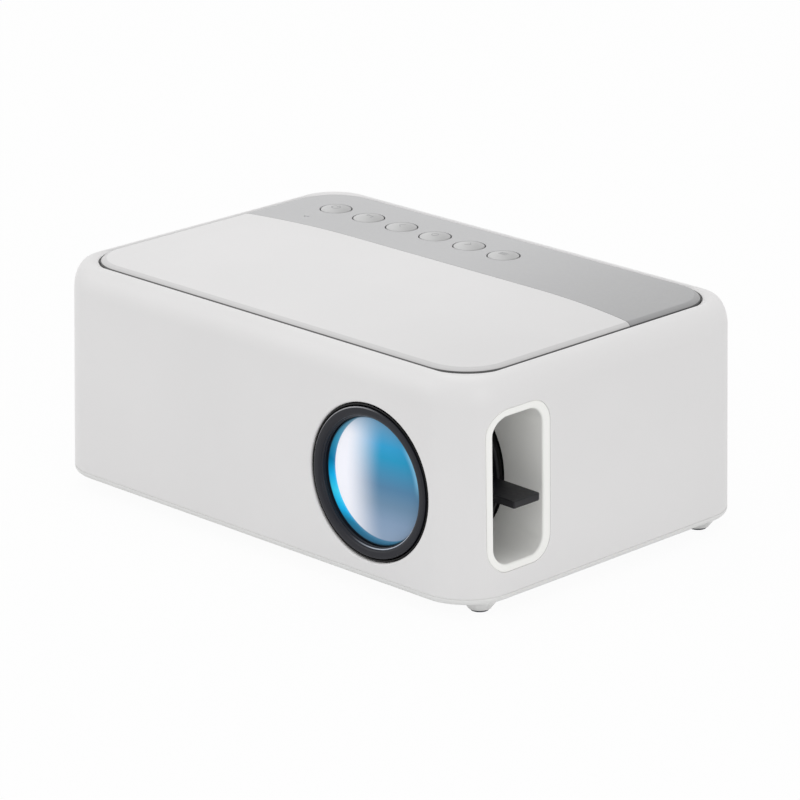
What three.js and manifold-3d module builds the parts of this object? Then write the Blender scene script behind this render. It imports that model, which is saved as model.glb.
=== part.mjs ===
import * as THREE from 'three';
import { mergeVertices } from 'three/addons/utils/BufferGeometryUtils.js';
import Module from 'manifold-3d';

const wasm = await Module();
wasm.setup();

// A pico projector: a rounded white casing on four feet, a two-tone lid with six buttons,
// an objective lens in the front wall and a focus lever in a window of the right wall.
// Millimetres, +Z up, front to -Y, standing on z = 0 under the middle of the casing.

// Driving dimensions of the casing
const bodyWidth = 133;
const bodyDepth = 91.4;
const bodyHeight = 50.35;
const footHeight = 3.2;
const wallThickness = 2;
const wallDraftDegrees = 0.85;
const cornerRadius = 12;

// Clearances
const seamGap = 0.2;
const fitGap = 0.3;
const runningGap = 0.25;
const cutOverrun = 1;

// Rim round the lid
const rimOuterRadius = 3.4;
const rimInnerRadius = 0.85;
const recessDepth = 1.6;
const deckThickness = 1.8;

// Lid: white plate in front, grey button panel behind
const lidProud = 0.5;
const lidCornerRadius = 10.5;
const lidEdgeRadius = 1.5;
const panelDepth = 26.25;
const panelEdgeStraight = 58;
const panelEdgeBendRadius = 130;
const lidSplit = 0.1;
const pegRadius = 1.2;
const pegLength = 3.2;
const pegInset = 9;

// Buttons on the panel
const buttonCount = 6;
const buttonPitch = 10.9;
const buttonRadius = 3.65;
const buttonFromLeft = 18.6;
const buttonFromBack = 17.7;
const buttonDome = 0.45;
const buttonTravel = 0.6;
const buttonFlangeRadius = 4.5;
const buttonFlangeThickness = 0.6;
const buttonStemRadius = 1.4;
const buttonStemLength = 0.5;
const indicatorRadius = 0.5;
const indicatorFromButtons = 9.2;

// Base cover and feet
const bandHeight = 1.4;
const bandEdgeRadius = 1.2;
const basePlate = 2;
const lipHeight = 3;
const lipThickness = 1.5;
const footTopRadius = 4.4;
const footBottomRadius = 2.6;
const footInsetX = 6.3;
const footInsetY = 10.3;
const padRadius = 2.1;
const padHeight = 1.1;
const padProud = 0.5;

// Case screws and their posts
const postRadius = 3;
const postFromSide = 16.5;
const postFromEnd = 7.7;
const postFromBush = 10.4;
const screwHeadRadius = 2.3;
const screwHeadHeight = 1.5;
const screwShankRadius = 1.2;
const screwLength = 12;
// Half length and half width of the cross in a screw's head, against the head's radius
const driveShares = [0.6, 0.16];

// Objective lens, measured from the front face and from the right wall
const lensFromRight = 29.9;
const lensAboveBase = 22;
const lensHoleRadius = 17.75;
const lensHoleChamfer = 0.4;
const bezelWall = 0.4;
const bezelRecess = 0.3;
const bezelFlange = 1.2;
const bezelFlangeThickness = 1.2;
const cellProud = 0.05;
const cellDish = 0.45;
const cellChamfer = 0.3;
const cellHeadRadius = 16.9;
const cellHeadLength = 5;
const cellTravel = 1.5;
const cellBodyRadius = 15.2;
const cellLength = 22.4;
const cellWall = 0.6;
const frontGlassRecess = 2;
const frontGlassEdge = 3.4;
const frontGlassSag = 1.4;
const rearGlassRadius = 12;
const rearGlassEdge = 2.4;
const rearGlassSag = 1.6;
const tubeWall = 0.8;
const mountPlate = 1.8;

// Focus ring with its flange and lever
const ringFromCell = 2.15;
const ringWall = 1.2;
const flangeRadius = 19.3;
const flangeThickness = 0.8;
const flangeFromFront = 21.6;
const leverWidth = 7.8;
const leverFromFlange = 0.4;
const leverThickness = 1.7;
const leverProud = 1.5;
const leverCornerRadius = 1.1;
const leverRestDegrees = -0.8;

// Window in the right wall
const windowWidth = 14.7;
const windowBelowAxis = 13.9;
const windowAboveAxis = 19.1;
const windowCornerRadius = 4;
const windowBehindFlange = 1.6;
const frameBandFront = 1.55;
const frameBandBack = 2.1;
const frameBandEnd = 1.6;
const frameGroove = 0.2;
const linerWall = 1.2;
const linerDepth = 20;
const ringSweepGap = 0.8;

// Light engine
const engineWall = 1.6;
const engineFloor = 1.4;
const engineLift = 1.4;
const engineLid = 1.2;
const mirrorThickness = 1.5;
const sheetThickness = 1.5;
const panelGlassThickness = 2;
const ribDepth = 1.2;
const ribWidth = 1.2;
const condenserRim = 4.1;
const condenserEdge = 2.4;
const condenserSag = 5;
const holderThickness = 2.6;
const engineFromWall = 3.75;
const ledBoardHalf = 10;
const ledBoardThickness = 1.5;
const ledDomeRadius = 4;
const ledDomeHeight = 1.2;
// Where the condenser, rear sheet, panel glass and front sheet stand along the engine
const stationShares = [0.2, 0.52, 0.7, 0.86];

// Heat sink and fan
const sinkBase = 3;
const sinkFinDepth = 14;
const sinkHalfHeight = 18;
const sinkFromEngineEnd = 5.5;
const sinkFinCount = 8;
const sinkFinThickness = 1.3;
const fanSize = 38;
const fanThickness = 10;
const fanFromWall = 2.6;
const fanBoreRadius = 17.6;
const fanHubRadius = 8.5;
const fanBladeCount = 7;
const fanBladeThickness = 1;
// Chord of a blade along the axis, against the depth of the hub
const bladeChordShare = 0.92;
const fanBladeDegrees = 38;
const fanTipGap = 0.7;
const fanStrutWidth = 2;
const fanPlate = 1.2;
const fanShaftRadius = 1;
const fanHoleRadius = 1.7;
const fanHoleInset = 3;
const fanGuide = 1.4;
const fanGuideHeight = 4;

// Main board along the back, with its sockets
const boardThickness = 1.6;
const boardFromPost = 2.5;
const boardDepth = 13;
const boardLift = 2.7;
const boardFromWall = 1.2;
const standoffRadius = 2;
const socketSetback = 0.4;
const socketShell = 0.6;
const socketMargin = 0.6;
const powerSize = 8;
const powerDepth = 11;
const powerBoreRadius = 3;
const powerPinRadius = 1;
const videoWidth = 15;
const videoHeight = 6;
const videoDepth = 11;
const usbWidth = 14;
const usbHeight = 7;
const usbDepth = 12;
const audioSize = 6.4;
const audioDepth = 12;
const audioBoreRadius = 1.8;
const cardWidth = 13;
const cardHeight = 2.6;
const cardDepth = 12;

// Button board under the deck
const keyBoardThickness = 1.2;
const keyBoardDepth = 13;
const keyBoardOverhang = 6.5;
const keyBoardScrewInset = 2.6;
const keyBoardBossRadius = 1.5;
const switchHalf = 2.6;
const switchHeight = 2.8;
const plungerRadius = 1.3;
const plungerHeight = 0.5;

// Speaker on the floor, to the left of the tripod bush
const speakerRadius = 10;
const speakerDepth = 5;
const speakerFromBush = 25.6;
const speakerFromFront = 15.5;
const speakerMagnetRadius = 6;
const speakerMagnetDepth = 3;
const speakerRingWall = 1.2;
const speakerRingHeight = 2.5;

// Tripod bush in the base
const bushRadius = 5;
const bushHeight = 7;
const bushBoreRadius = 3.2;
const bushFromFront = 14;
const bushWall = 1.6;

// Vents
const ventWidth = 2;
const ventPitch = 4;
const leftVentLength = 26;
const leftVentCount = 9;
const baseVentLength = 20;
const baseVentCount = 5;
const grilleLength = 15;
const grilleCount = 4;

// Facets
const cornerSteps = 6;
const filletSteps = 3;
const largeSides = 36;
const mediumSides = 20;
const smallSides = 12;
// A slot's end radius against its half width, just under the whole so that two edges stay
const slotEndShare = 0.999;

// Levels
const baseZ = footHeight;
const floorZ = baseZ + basePlate;
const bandTopZ = baseZ + bandHeight;
const shellBottomZ = bandTopZ + seamGap;
const crestZ = baseZ + bodyHeight;
const recessZ = crestZ - recessDepth;
const deckUnderZ = recessZ - deckThickness;
const lidTopZ = crestZ + lidProud;
const lidBottomZ = recessZ + seamGap;
const lensZ = baseZ + lensAboveBase;

const draft = Math.tan(THREE.MathUtils.degToRad(wallDraftDegrees));
const halfWidthAt = (z) => bodyWidth / 2 - draft * (z - baseZ);
const halfDepthAt = (z) => bodyDepth / 2 - draft * (z - baseZ);
const rimWidth = rimOuterRadius + rimInnerRadius;

const lensX = bodyWidth / 2 - lensFromRight;
const frontY = -halfDepthAt(lensZ);
const rightX = halfWidthAt(lensZ);
const leftInnerX = -(halfWidthAt(crestZ) - wallThickness);
const backInnerY = halfDepthAt(crestZ) - wallThickness;

const finishes = {
  whiteShell: { color: 0xe3e2e2, roughness: 0.42, metalness: 0 },
  whiteCover: { color: 0xdcdeda, roughness: 0.5, metalness: 0 },
  greyPanel: { color: 0xbfbfc0, roughness: 0.4, metalness: 0 },
  blackPlastic: { color: 0x2a2a2e, roughness: 0.35, metalness: 0 },
  darkRing: { color: 0x3e4047, roughness: 0.3, metalness: 0.1 },
  innerBlack: { color: 0x1d1d20, roughness: 0.6, metalness: 0 },
  rubber: { color: 0x3a3d46, roughness: 0.8, metalness: 0 },
  glass: { color: 0x5fa8d0, roughness: 0.03, metalness: 0 },
  clearSheet: { color: 0xd7e2e6, roughness: 0.15, metalness: 0 },
  panelGlass: { color: 0x23252b, roughness: 0.12, metalness: 0 },
  mirror: { color: 0xdfe3e6, roughness: 0.04, metalness: 1 },
  aluminium: { color: 0xb9bcc0, roughness: 0.38, metalness: 1 },
  steel: { color: 0x8f9296, roughness: 0.32, metalness: 1 },
  brass: { color: 0xb6924e, roughness: 0.35, metalness: 1 },
  board: { color: 0x1f5a3c, roughness: 0.5, metalness: 0 },
  whiteBoard: { color: 0xe8e6dc, roughness: 0.5, metalness: 0 },
  lamp: { color: 0xf2dc7a, roughness: 0.4, metalness: 0 },
  lightPipe: { color: 0xe9edf0, roughness: 0.2, metalness: 0 },
};

const projector = new THREE.Group();

// Turns a closed geometry into a solid with outward faces
function solid(geometry) {
  const bare = geometry.clone();
  bare.deleteAttribute('normal');
  bare.deleteAttribute('uv');
  const merged = mergeVertices(bare);
  const vertices = merged.attributes.position.array;
  const corner = (index) => new THREE.Vector3().fromArray(vertices, index * 3);
  const triangles = [];
  let volume = 0;
  for (let i = 0; i < merged.index.count; i += 3) {
    const [a, b, c] = [0, 1, 2].map((k) => merged.index.getX(i + k));
    if (a === b || b === c || c === a) continue;
    volume += corner(a).dot(corner(b).cross(corner(c)));
    triangles.push([a, b, c]);
  }
  const order = volume < 0 ? triangles.map(([a, b, c]) => [a, c, b]) : triangles;
  return new wasm.Manifold(new wasm.Mesh({
    numProp: 3,
    vertProperties: vertices,
    triVerts: Uint32Array.from(order.flat()),
  }));
}

// Adds a solid to a group as a named mesh
function addPiece(name, body, finish, group = projector) {
  const { vertProperties, triVerts } = body.getMesh();
  const geometry = new THREE.BufferGeometry();
  geometry.setAttribute('position', new THREE.BufferAttribute(vertProperties, 3));
  geometry.setIndex(new THREE.BufferAttribute(triVerts, 1));
  geometry.computeVertexNormals();
  const mesh = new THREE.Mesh(geometry, new THREE.MeshStandardMaterial(finishes[finish]));
  mesh.name = name;
  group.add(mesh);
  return mesh;
}

const union = (solids) => solids.reduce((whole, next) => whole.add(next));
const cutAll = (whole, cutters) => cutters.reduce((rest, cutter) => rest.subtract(cutter), whole);

function block([x0, x1], [y0, y1], [z0, z1]) {
  const box = new THREE.BoxGeometry(x1 - x0, y1 - y0, z1 - z0);
  return solid(box.translate((x0 + x1) / 2, (y0 + y1) / 2, (z0 + z1) / 2));
}

// Turns a geometry that was made along Y so that it runs along another axis
function alongAxis(geometry, axis) {
  if (axis === 'x') geometry.rotateZ(-Math.PI / 2);
  if (axis === 'z') geometry.rotateX(Math.PI / 2);
  return geometry;
}

// A round bar from one place to another along an axis, through the point at
function rod(axis, radius, from, to, at = [0, 0, 0], sides = smallSides) {
  const cylinder = new THREE.CylinderGeometry(radius, radius, to - from, sides);
  cylinder.translate(0, (from + to) / 2, 0);
  return solid(alongAxis(cylinder, axis).translate(...at));
}

// A turned piece from a profile of [radius, distance along the axis]
function turned(axis, profile, at = [0, 0, 0], sides = mediumSides) {
  const points = profile.map(([radius, along]) => new THREE.Vector2(radius, along));
  return solid(alongAxis(new THREE.LatheGeometry(points, sides), axis).translate(...at));
}

// Points of a spherical cap from the axis to its edge, or from the edge back to the axis
function capProfile(edgeRadius, sag, edgeAlong, towards, steps = 4) {
  const sphere = (edgeRadius ** 2 + sag ** 2) / (2 * sag);
  const half = Math.asin(edgeRadius / sphere);
  return Array.from({ length: steps + 1 }, (_, i) => {
    const angle = (half * i) / steps;
    const rise = sphere * Math.cos(angle) - (sphere - sag);
    return [i === 0 ? 0 : sphere * Math.sin(angle), edgeAlong + towards * rise];
  });
}

// A lens with an edge, a convex front and a flat or convex back, along +axis
function lensSolid(axis, radius, frontSag, edgeStart, edgeThickness, backSag, at) {
  const front = capProfile(radius, frontSag, edgeStart, -1);
  const edgeEnd = edgeStart + edgeThickness;
  const back = backSag > 0
    ? capProfile(radius, backSag, edgeEnd, 1).reverse()
    : [[radius, edgeEnd], [0, edgeEnd]];
  return turned(axis, [...front, ...back], at, mediumSides);
}

function roundedRectangle(halfX, halfY, radius, steps = cornerSteps) {
  const corners = [[1, 1, 0], [-1, 1, 1], [-1, -1, 2], [1, -1, 3]];
  return corners.flatMap(([sx, sy, quarter]) => Array.from({ length: steps + 1 }, (_, i) => {
    const angle = (quarter + i / steps) * (Math.PI / 2);
    return new THREE.Vector2(
      sx * (halfX - radius) + radius * Math.cos(angle),
      sy * (halfY - radius) + radius * Math.sin(angle),
    );
  }));
}

// Joins rings of equal count, given as { points, z }, into one closed body
function loft(rings) {
  const count = rings[0].points.length;
  const position = rings.flatMap(({ points, z }) => points.flatMap((p) => [p.x, p.y, z]));
  const index = [];
  for (let ring = 0; ring + 1 < rings.length; ring += 1) {
    for (let i = 0; i < count; i += 1) {
      const a = ring * count + i;
      const b = ring * count + ((i + 1) % count);
      index.push(a, b, b + count, a, b + count, a + count);
    }
  }
  const last = (rings.length - 1) * count;
  for (let i = 1; i + 1 < count; i += 1) {
    index.push(0, i + 1, i, last, last + i, last + i + 1);
  }
  const geometry = new THREE.BufferGeometry();
  geometry.setAttribute('position', new THREE.Float32BufferAttribute(position, 3));
  geometry.setIndex(index);
  return solid(geometry);
}

// One ring of the casing's outline at height z, moved inwards by inset
function casingRing(z, inset) {
  return {
    points: roundedRectangle(halfWidthAt(z) - inset, halfDepthAt(z) - inset, cornerRadius - inset),
    z,
  };
}

const quarterTurns = Array.from({ length: filletSteps + 1 }, (_, i) => (
  (i / filletSteps) * (Math.PI / 2)
));

// A flat outline pushed along an axis
function pushed(shape, axis, from, to, steps = cornerSteps) {
  const geometry = new THREE.ExtrudeGeometry(shape, {
    depth: to - from,
    bevelEnabled: false,
    curveSegments: steps,
  });
  geometry.translate(0, 0, from);
  if (axis === 'x') geometry.rotateZ(Math.PI / 2).rotateY(Math.PI / 2);
  if (axis === 'y') geometry.translate(0, 0, -from - to).rotateX(Math.PI / 2);
  return solid(geometry);
}

// Along x the outline's own axes lie on y and z, and along y they lie on x and z
function roundedOutline(u, v, halfU, halfV, radius, steps = cornerSteps) {
  return new THREE.Shape(
    roundedRectangle(halfU, halfV, radius, steps).map((p) => p.add(new THREE.Vector2(u, v))),
  );
}

function slot(axis, [u, v], halfU, halfV, from, to, steps = 1) {
  const radius = Math.min(halfU, halfV) * slotEndShare;
  return pushed(roundedOutline(u, v, halfU, halfV, radius, steps), axis, from, to);
}

// Places along a row, centred on a middle
const row = (count, pitch, middle) => (
  Array.from({ length: count }, (_, i) => middle + (i - (count - 1) / 2) * pitch)
);

// Places shared by the casing, the base and what they carry
const feet = [[-1, -1], [1, -1], [1, 1], [-1, 1]].map(([sx, sy]) => [
  sx * (bodyWidth / 2 - footInsetX),
  sy * (bodyDepth / 2 - footInsetY),
]);
const posts = [
  [-(bodyWidth / 2 - postFromSide), -(bodyDepth / 2 - postFromEnd)],
  [-postFromBush, -(bodyDepth / 2 - postFromEnd)],
  [bodyWidth / 2 - postFromSide, bodyDepth / 2 - postFromEnd],
  [-(bodyWidth / 2 - postFromSide), bodyDepth / 2 - postFromEnd],
];
const buttonY = bodyDepth / 2 - buttonFromBack;
const buttons = Array.from({ length: buttonCount }, (_, i) => (
  [-bodyWidth / 2 + buttonFromLeft + i * buttonPitch, buttonY]
));
const postBottomZ = floorZ + lipHeight + fitGap;

// Fan, sink and engine follow each other from the left wall to the lens
const fanX0 = leftInnerX + fanFromWall;
const fanX1 = fanX0 + fanThickness;
const sinkX0 = fanX1 + fitGap;
const sinkX1 = sinkX0 + sinkFinDepth + sinkBase;
const engineX0 = sinkX1 + fitGap;
const shoulderLength = windowBehindFlange + linerWall + fitGap;
const engineFrontY = frontY + flangeFromFront + shoulderLength + mountPlate + fitGap;
const boardBackY = backInnerY - boardFromWall;
const boardFrontY = boardBackY - boardDepth;
const engineBackY = boardFrontY - fitGap;
const engineInnerX0 = engineX0 + engineWall;
const engineInnerY0 = engineFrontY + engineWall;
const engineInnerY1 = engineBackY - engineWall;
const foldY = (engineInnerY0 + engineInnerY1) / 2;
// The mirror fits the engine both from front to back and up to the right wall
const reachInDepth = (engineInnerY1 - engineInnerY0) / 2 - 2 * fitGap - mirrorThickness;
const mirrorBacking = mirrorThickness + engineWall + fitGap;
const reachInWidth = halfWidthAt(crestZ) - wallThickness - engineFromWall - mirrorBacking - lensX;
const mirrorReach = Math.min(reachInDepth, reachInWidth);
const diagonalInner = lensX + foldY + (mirrorThickness + fitGap) * Math.SQRT2;
const diagonalOuter = diagonalInner + engineWall * Math.SQRT2;
const engineX1 = lensX + mirrorReach + mirrorBacking;

const buttonStemZ = lidBottomZ - fitGap - buttonFlangeThickness - buttonStemLength;
const keyBoardTopZ = buttonStemZ - buttonTravel - seamGap / 2 - plungerHeight - switchHeight;
const keyBoardBottomZ = keyBoardTopZ - keyBoardThickness;
const engineTopZ = keyBoardBottomZ - engineLid - 2 * fitGap;
const engineBottomZ = floorZ + engineLift;
const engineFloorZ = engineBottomZ + engineFloor;
const opticsZ = (engineFloorZ + engineTopZ) / 2;
const opticsHalf = (engineTopZ - engineFloorZ) / 2 - fitGap;
const opticsHalfDepth = (engineInnerY1 - engineInnerY0) / 2 - fitGap;
const condenserRadius = Math.min(opticsHalf, opticsHalfDepth) - condenserRim;
const sinkHalfDepth = (engineBackY - engineFrontY) / 2 - sinkFromEngineEnd;

const bezelOuterRadius = lensHoleRadius - seamGap;
const bezelFlangeRadius = bezelOuterRadius + bezelFlange;
const tubeInnerRadius = cellBodyRadius + fitGap;
const tubeOuterRadius = tubeInnerRadius + tubeWall;
const ringInnerRadius = tubeOuterRadius + fitGap;
const ringOuterRadius = ringInnerRadius + ringWall;
const ringStart = cellHeadLength - cellProud + cellTravel + ringFromCell;

const windowY1 = frontY + flangeFromFront + windowBehindFlange;
const windowY0 = windowY1 - windowWidth;
const windowY = (windowY0 + windowY1) / 2;
const windowZ = lensZ + (windowAboveAxis - windowBelowAxis) / 2;
const windowHalfHeight = (windowAboveAxis + windowBelowAxis) / 2;
const frameY = windowY + (frameBandBack - frameBandFront) / 2;
const frameHalfWidth = (windowWidth + frameBandFront + frameBandBack) / 2;

// Sockets on the main board from right to left, evenly between the screws at its ends
const boardHalfLength = bodyWidth / 2 - postFromSide - postRadius - boardFromPost;
const socketKinds = [
  {
    name: 'dc_inlet', kind: 'round', width: powerSize, height: powerSize, depth: powerDepth,
    bore: powerBoreRadius, pin: powerPinRadius,
  },
  { name: 'hdmi_socket', kind: 'flat', width: videoWidth, height: videoHeight, depth: videoDepth },
  { name: 'usb_socket', kind: 'flat', width: usbWidth, height: usbHeight, depth: usbDepth },
  {
    name: 'av_jack', kind: 'round', width: audioSize, height: audioSize, depth: audioDepth,
    bore: audioBoreRadius,
  },
  { name: 'card_slot', kind: 'flat', width: cardWidth, height: cardHeight, depth: cardDepth },
];
const socketWidths = socketKinds.reduce((sum, { width }) => sum + width, 0);
const socketReach = boardHalfLength - keyBoardScrewInset - screwHeadRadius / 2 - fitGap;
const socketSpacing = (2 * socketReach - socketWidths) / (socketKinds.length - 1);
const sockets = socketKinds.map((socket, i) => {
  const before = socketKinds.slice(0, i).reduce((sum, { width }) => sum + width + socketSpacing, 0);
  return { ...socket, x: socketReach - before - socket.width / 2 };
});
const boardZ0 = floorZ + boardLift;
const boardTopZ = boardZ0 + boardThickness;

function casingSolid() {
  const sideTopZ = crestZ - rimOuterRadius;
  const outerRoll = quarterTurns.map((turn) => (
    casingRing(sideTopZ + rimOuterRadius * Math.sin(turn), rimOuterRadius * (1 - Math.cos(turn)))
  ));
  // The roll widens at the corners, because the recess follows the lid's own outline
  const crest = casingRing(crestZ, rimOuterRadius).points;
  const recess = roundedRectangle(halfWidthAt(crestZ) - rimWidth, halfDepthAt(crestZ) - rimWidth,
    lidCornerRadius + fitGap);
  const innerRoll = quarterTurns.slice(1).map((turn) => ({
    points: crest.map((point, i) => point.clone().lerp(recess[i], Math.sin(turn))),
    z: crestZ - rimInnerRadius * (1 - Math.cos(turn)),
  }));
  return loft([
    casingRing(shellBottomZ, 0),
    ...outerRoll,
    ...innerRoll,
    { points: recess, z: recessZ },
  ]);
}

const casing = casingSolid();

function shellPosts() {
  return posts.map(([x, y]) => {
    const post = rod('z', postRadius, postBottomZ, deckUnderZ + deckThickness / 2, [x, y, 0]);
    const pilot = rod('z', screwShankRadius + seamGap, postBottomZ - cutOverrun,
      baseZ + screwLength + fitGap * 2, [x, y, 0], smallSides);
    return post.subtract(pilot);
  });
}

function upperShell() {
  const cavityBottom = casingRing(shellBottomZ - cutOverrun, wallThickness);
  const cavity = loft([cavityBottom, casingRing(deckUnderZ, wallThickness)]);
  const leftVents = row(leftVentCount, ventPitch, lensZ).map((z) => slot(
    'x', [foldY, z], leftVentLength / 2, ventWidth / 2,
    -bodyWidth / 2 - cutOverrun, leftInnerX + cutOverrun,
  ));
  const lensHole = turned('y', [
    [0, frontY - cutOverrun],
    [lensHoleRadius + lensHoleChamfer, frontY - cutOverrun],
    [lensHoleRadius + lensHoleChamfer, frontY - draft * lensHoleRadius],
    [lensHoleRadius, frontY + lensHoleChamfer],
    [lensHoleRadius, frontY + wallThickness * 2],
    [0, frontY + wallThickness * 2],
  ], [lensX, 0, lensZ], largeSides);
  const windowHole = pushed(
    roundedOutline(frameY, windowZ, frameHalfWidth + frameGroove,
      windowHalfHeight + frameBandEnd + frameGroove, windowCornerRadius + frameBandEnd),
    'x', rightX - wallThickness * 2, bodyWidth / 2 + cutOverrun,
  );
  const buttonSlot = block(
    [buttons[0][0] - buttonFlangeRadius - fitGap, buttons.at(-1)[0] + buttonFlangeRadius + fitGap],
    [buttonY - buttonFlangeRadius - fitGap, buttonY + buttonFlangeRadius + fitGap],
    [deckUnderZ - cutOverrun, recessZ + cutOverrun],
  );
  const pegHoles = pegPlaces().map(([x, y]) => (
    rod('z', pegRadius + runningGap, lidBottomZ - pegLength - fitGap, recessZ + cutOverrun, [x, y, 0])
  ));
  const indicatorHole = rod('z', indicatorRadius + 2 * runningGap, deckUnderZ - cutOverrun,
    recessZ + cutOverrun, indicatorPlace(), smallSides);
  const hollow = casing.subtract(cavity).add(union(shellPosts())).add(union(keyBoardBosses()));
  return cutAll(hollow, [
    ...leftVents, lensHole, windowHole, buttonSlot, ...pegHoles, indicatorHole,
    ...socketCuts(),
  ]);
}

function pegPlaces() {
  const halfX = halfWidthAt(crestZ) - rimWidth - pegInset;
  const halfY = halfDepthAt(crestZ) - rimWidth - pegInset;
  const splitY = halfDepthAt(crestZ) - rimWidth - panelDepth;
  return [
    [-halfX, -halfY], [halfX, -halfY],
    [-halfX, splitY - pegInset], [halfX, splitY - pegInset],
    [-halfX, halfY + pegInset / 2], [halfX, halfY + pegInset / 2], [halfX, halfY - pegInset / 2],
  ];
}

function indicatorPlace() {
  return [buttons[0][0] - indicatorRadius, buttonY - indicatorFromButtons, 0];
}

function socketCuts() {
  return sockets.map(({ x, kind, width, height, bore }) => {
    const middleZ = boardTopZ + height / 2;
    if (kind === 'round') {
      return rod('y', bore + socketMargin, backInnerY - cutOverrun, bodyDepth / 2 + cutOverrun,
        [x, 0, middleZ], smallSides);
    }
    const halfU = width / 2 - socketShell + socketMargin;
    const halfV = height / 2 - socketShell + socketMargin;
    return pushed(roundedOutline(x, middleZ, halfU, halfV, socketMargin, 3), 'y',
      backInnerY - cutOverrun, bodyDepth / 2 + cutOverrun);
  });
}

// The part of the plan in front of the curved line where white meets grey
function frontRegion(shift) {
  const splitY = halfDepthAt(crestZ) - rimWidth - panelDepth + shift;
  const half = panelEdgeStraight / 2;
  const reach = bodyWidth / 2;
  const swing = Math.asin(Math.min(1, (reach - half) / panelEdgeBendRadius));
  const shape = new THREE.Shape();
  shape.moveTo(-reach, -bodyDepth);
  shape.lineTo(reach, -bodyDepth);
  const arcY = splitY - panelEdgeBendRadius;
  const up = Math.PI / 2;
  shape.absarc(half, arcY, panelEdgeBendRadius, up - swing, up, false);
  shape.absarc(-half, arcY, panelEdgeBendRadius, up, up + swing, false);
  return pushed(shape, 'z', lidBottomZ - pegLength - cutOverrun, lidTopZ + cutOverrun);
}

function lidSolid() {
  const halfX = halfWidthAt(crestZ) - rimWidth - fitGap;
  const halfY = halfDepthAt(crestZ) - rimWidth - fitGap;
  const ring = (z, inset) => ({
    points: roundedRectangle(halfX - inset, halfY - inset, lidCornerRadius - inset),
    z,
  });
  return loft([
    ring(lidBottomZ, 0),
    ...quarterTurns.map((turn) => (
      ring(lidTopZ - lidEdgeRadius * (1 - Math.sin(turn)), lidEdgeRadius * (1 - Math.cos(turn)))
    )),
  ]);
}

const lid = lidSolid();

function pegs(places) {
  return places.map(([x, y]) => (
    rod('z', pegRadius, lidBottomZ - pegLength, lidBottomZ + lidEdgeRadius / 2, [x, y, 0])
  ));
}

function topPlate() {
  const front = lid.intersect(frontRegion(-lidSplit / 2));
  return front.add(union(pegs(pegPlaces().slice(0, 4))));
}

function buttonPanel() {
  const back = lid.subtract(frontRegion(lidSplit / 2));
  const holes = buttons.map(([x, y]) => rod('z', buttonRadius + runningGap, lidBottomZ - cutOverrun,
    lidTopZ + cutOverrun, [x, y, 0], mediumSides));
  const indicator = rod('z', indicatorRadius + runningGap / 2, lidBottomZ - cutOverrun,
    lidTopZ + cutOverrun, indicatorPlace(), smallSides);
  return cutAll(back, [...holes, indicator]).add(union(pegs(pegPlaces().slice(4))));
}

// A button with its domed cap, its flange under the panel and its stem, from the cap's edge
function buttonSolid() {
  const flangeTop = -(lidTopZ - lidBottomZ) - fitGap;
  const flangeBottom = flangeTop - buttonFlangeThickness;
  const dome = capProfile(buttonRadius, buttonDome, 0, 1, 3).reverse();
  return turned('z', [
    [0, flangeBottom - buttonStemLength],
    [buttonStemRadius, flangeBottom - buttonStemLength],
    [buttonStemRadius, flangeBottom],
    [buttonFlangeRadius, flangeBottom],
    [buttonFlangeRadius, flangeTop],
    [buttonRadius, flangeTop],
    ...dome,
  ], [0, 0, 0], mediumSides);
}

function addButtons() {
  const body = buttonSolid();
  buttons.forEach(([x, y], i) => {
    addPiece(`button_${i + 1}`, body, 'greyPanel').position.set(x, y, lidTopZ);
  });
}

function keyBoardBosses() {
  return keyBoardScrews().map(([x, y]) => {
    const boss = rod('z', keyBoardBossRadius, keyBoardTopZ + seamGap,
      deckUnderZ + deckThickness / 2, [x, y, 0]);
    const pilot = rod('z', screwShankRadius / 2 + seamGap, keyBoardTopZ, deckUnderZ, [x, y, 0]);
    return boss.subtract(pilot);
  });
}

function keyBoardScrews() {
  const x0 = buttons[0][0] - keyBoardOverhang + keyBoardScrewInset;
  const x1 = buttons.at(-1)[0] + keyBoardOverhang - keyBoardScrewInset;
  const reach = keyBoardDepth / 2 - keyBoardScrewInset;
  return [[x0, buttonY - reach], [x1, buttonY + reach]];
}

function addKeyBoard() {
  const board = block(
    [buttons[0][0] - keyBoardOverhang, buttons.at(-1)[0] + keyBoardOverhang],
    [buttonY - keyBoardDepth / 2, buttonY + keyBoardDepth / 2],
    [keyBoardBottomZ, keyBoardTopZ],
  );
  const holes = keyBoardScrews().map(([x, y]) => rod('z', screwShankRadius / 2 + seamGap,
    keyBoardBottomZ - cutOverrun, keyBoardTopZ + cutOverrun, [x, y, 0], 12));
  addPiece('button_board', cutAll(board, holes), 'board');
  const tact = block([-switchHalf, switchHalf], [-switchHalf, switchHalf], [0, switchHeight])
    .add(rod('z', plungerRadius, 0, switchHeight + plungerHeight, [0, 0, 0], 10));
  buttons.forEach(([x, y], i) => {
    addPiece(`tact_switch_${i + 1}`, tact, 'blackPlastic').position.set(x, y, keyBoardTopZ);
  });
  keyBoardScrews().forEach(([x, y], i) => {
    const screw = turned('z', [
      [0, -screwHeadHeight / 2 - seamGap],
      [screwHeadRadius / 2, -screwHeadHeight / 2 - seamGap],
      [screwHeadRadius / 2, -seamGap / 2],
      [screwShankRadius / 2, -seamGap / 2],
      [screwShankRadius / 2, deckUnderZ - keyBoardBottomZ - fitGap],
      [0, deckUnderZ - keyBoardBottomZ - fitGap],
    ], [0, 0, 0], 12);
    addPiece(`board_screw_${i + 1}`, screw, 'steel').position.set(x, y, keyBoardBottomZ);
  });
}

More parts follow.
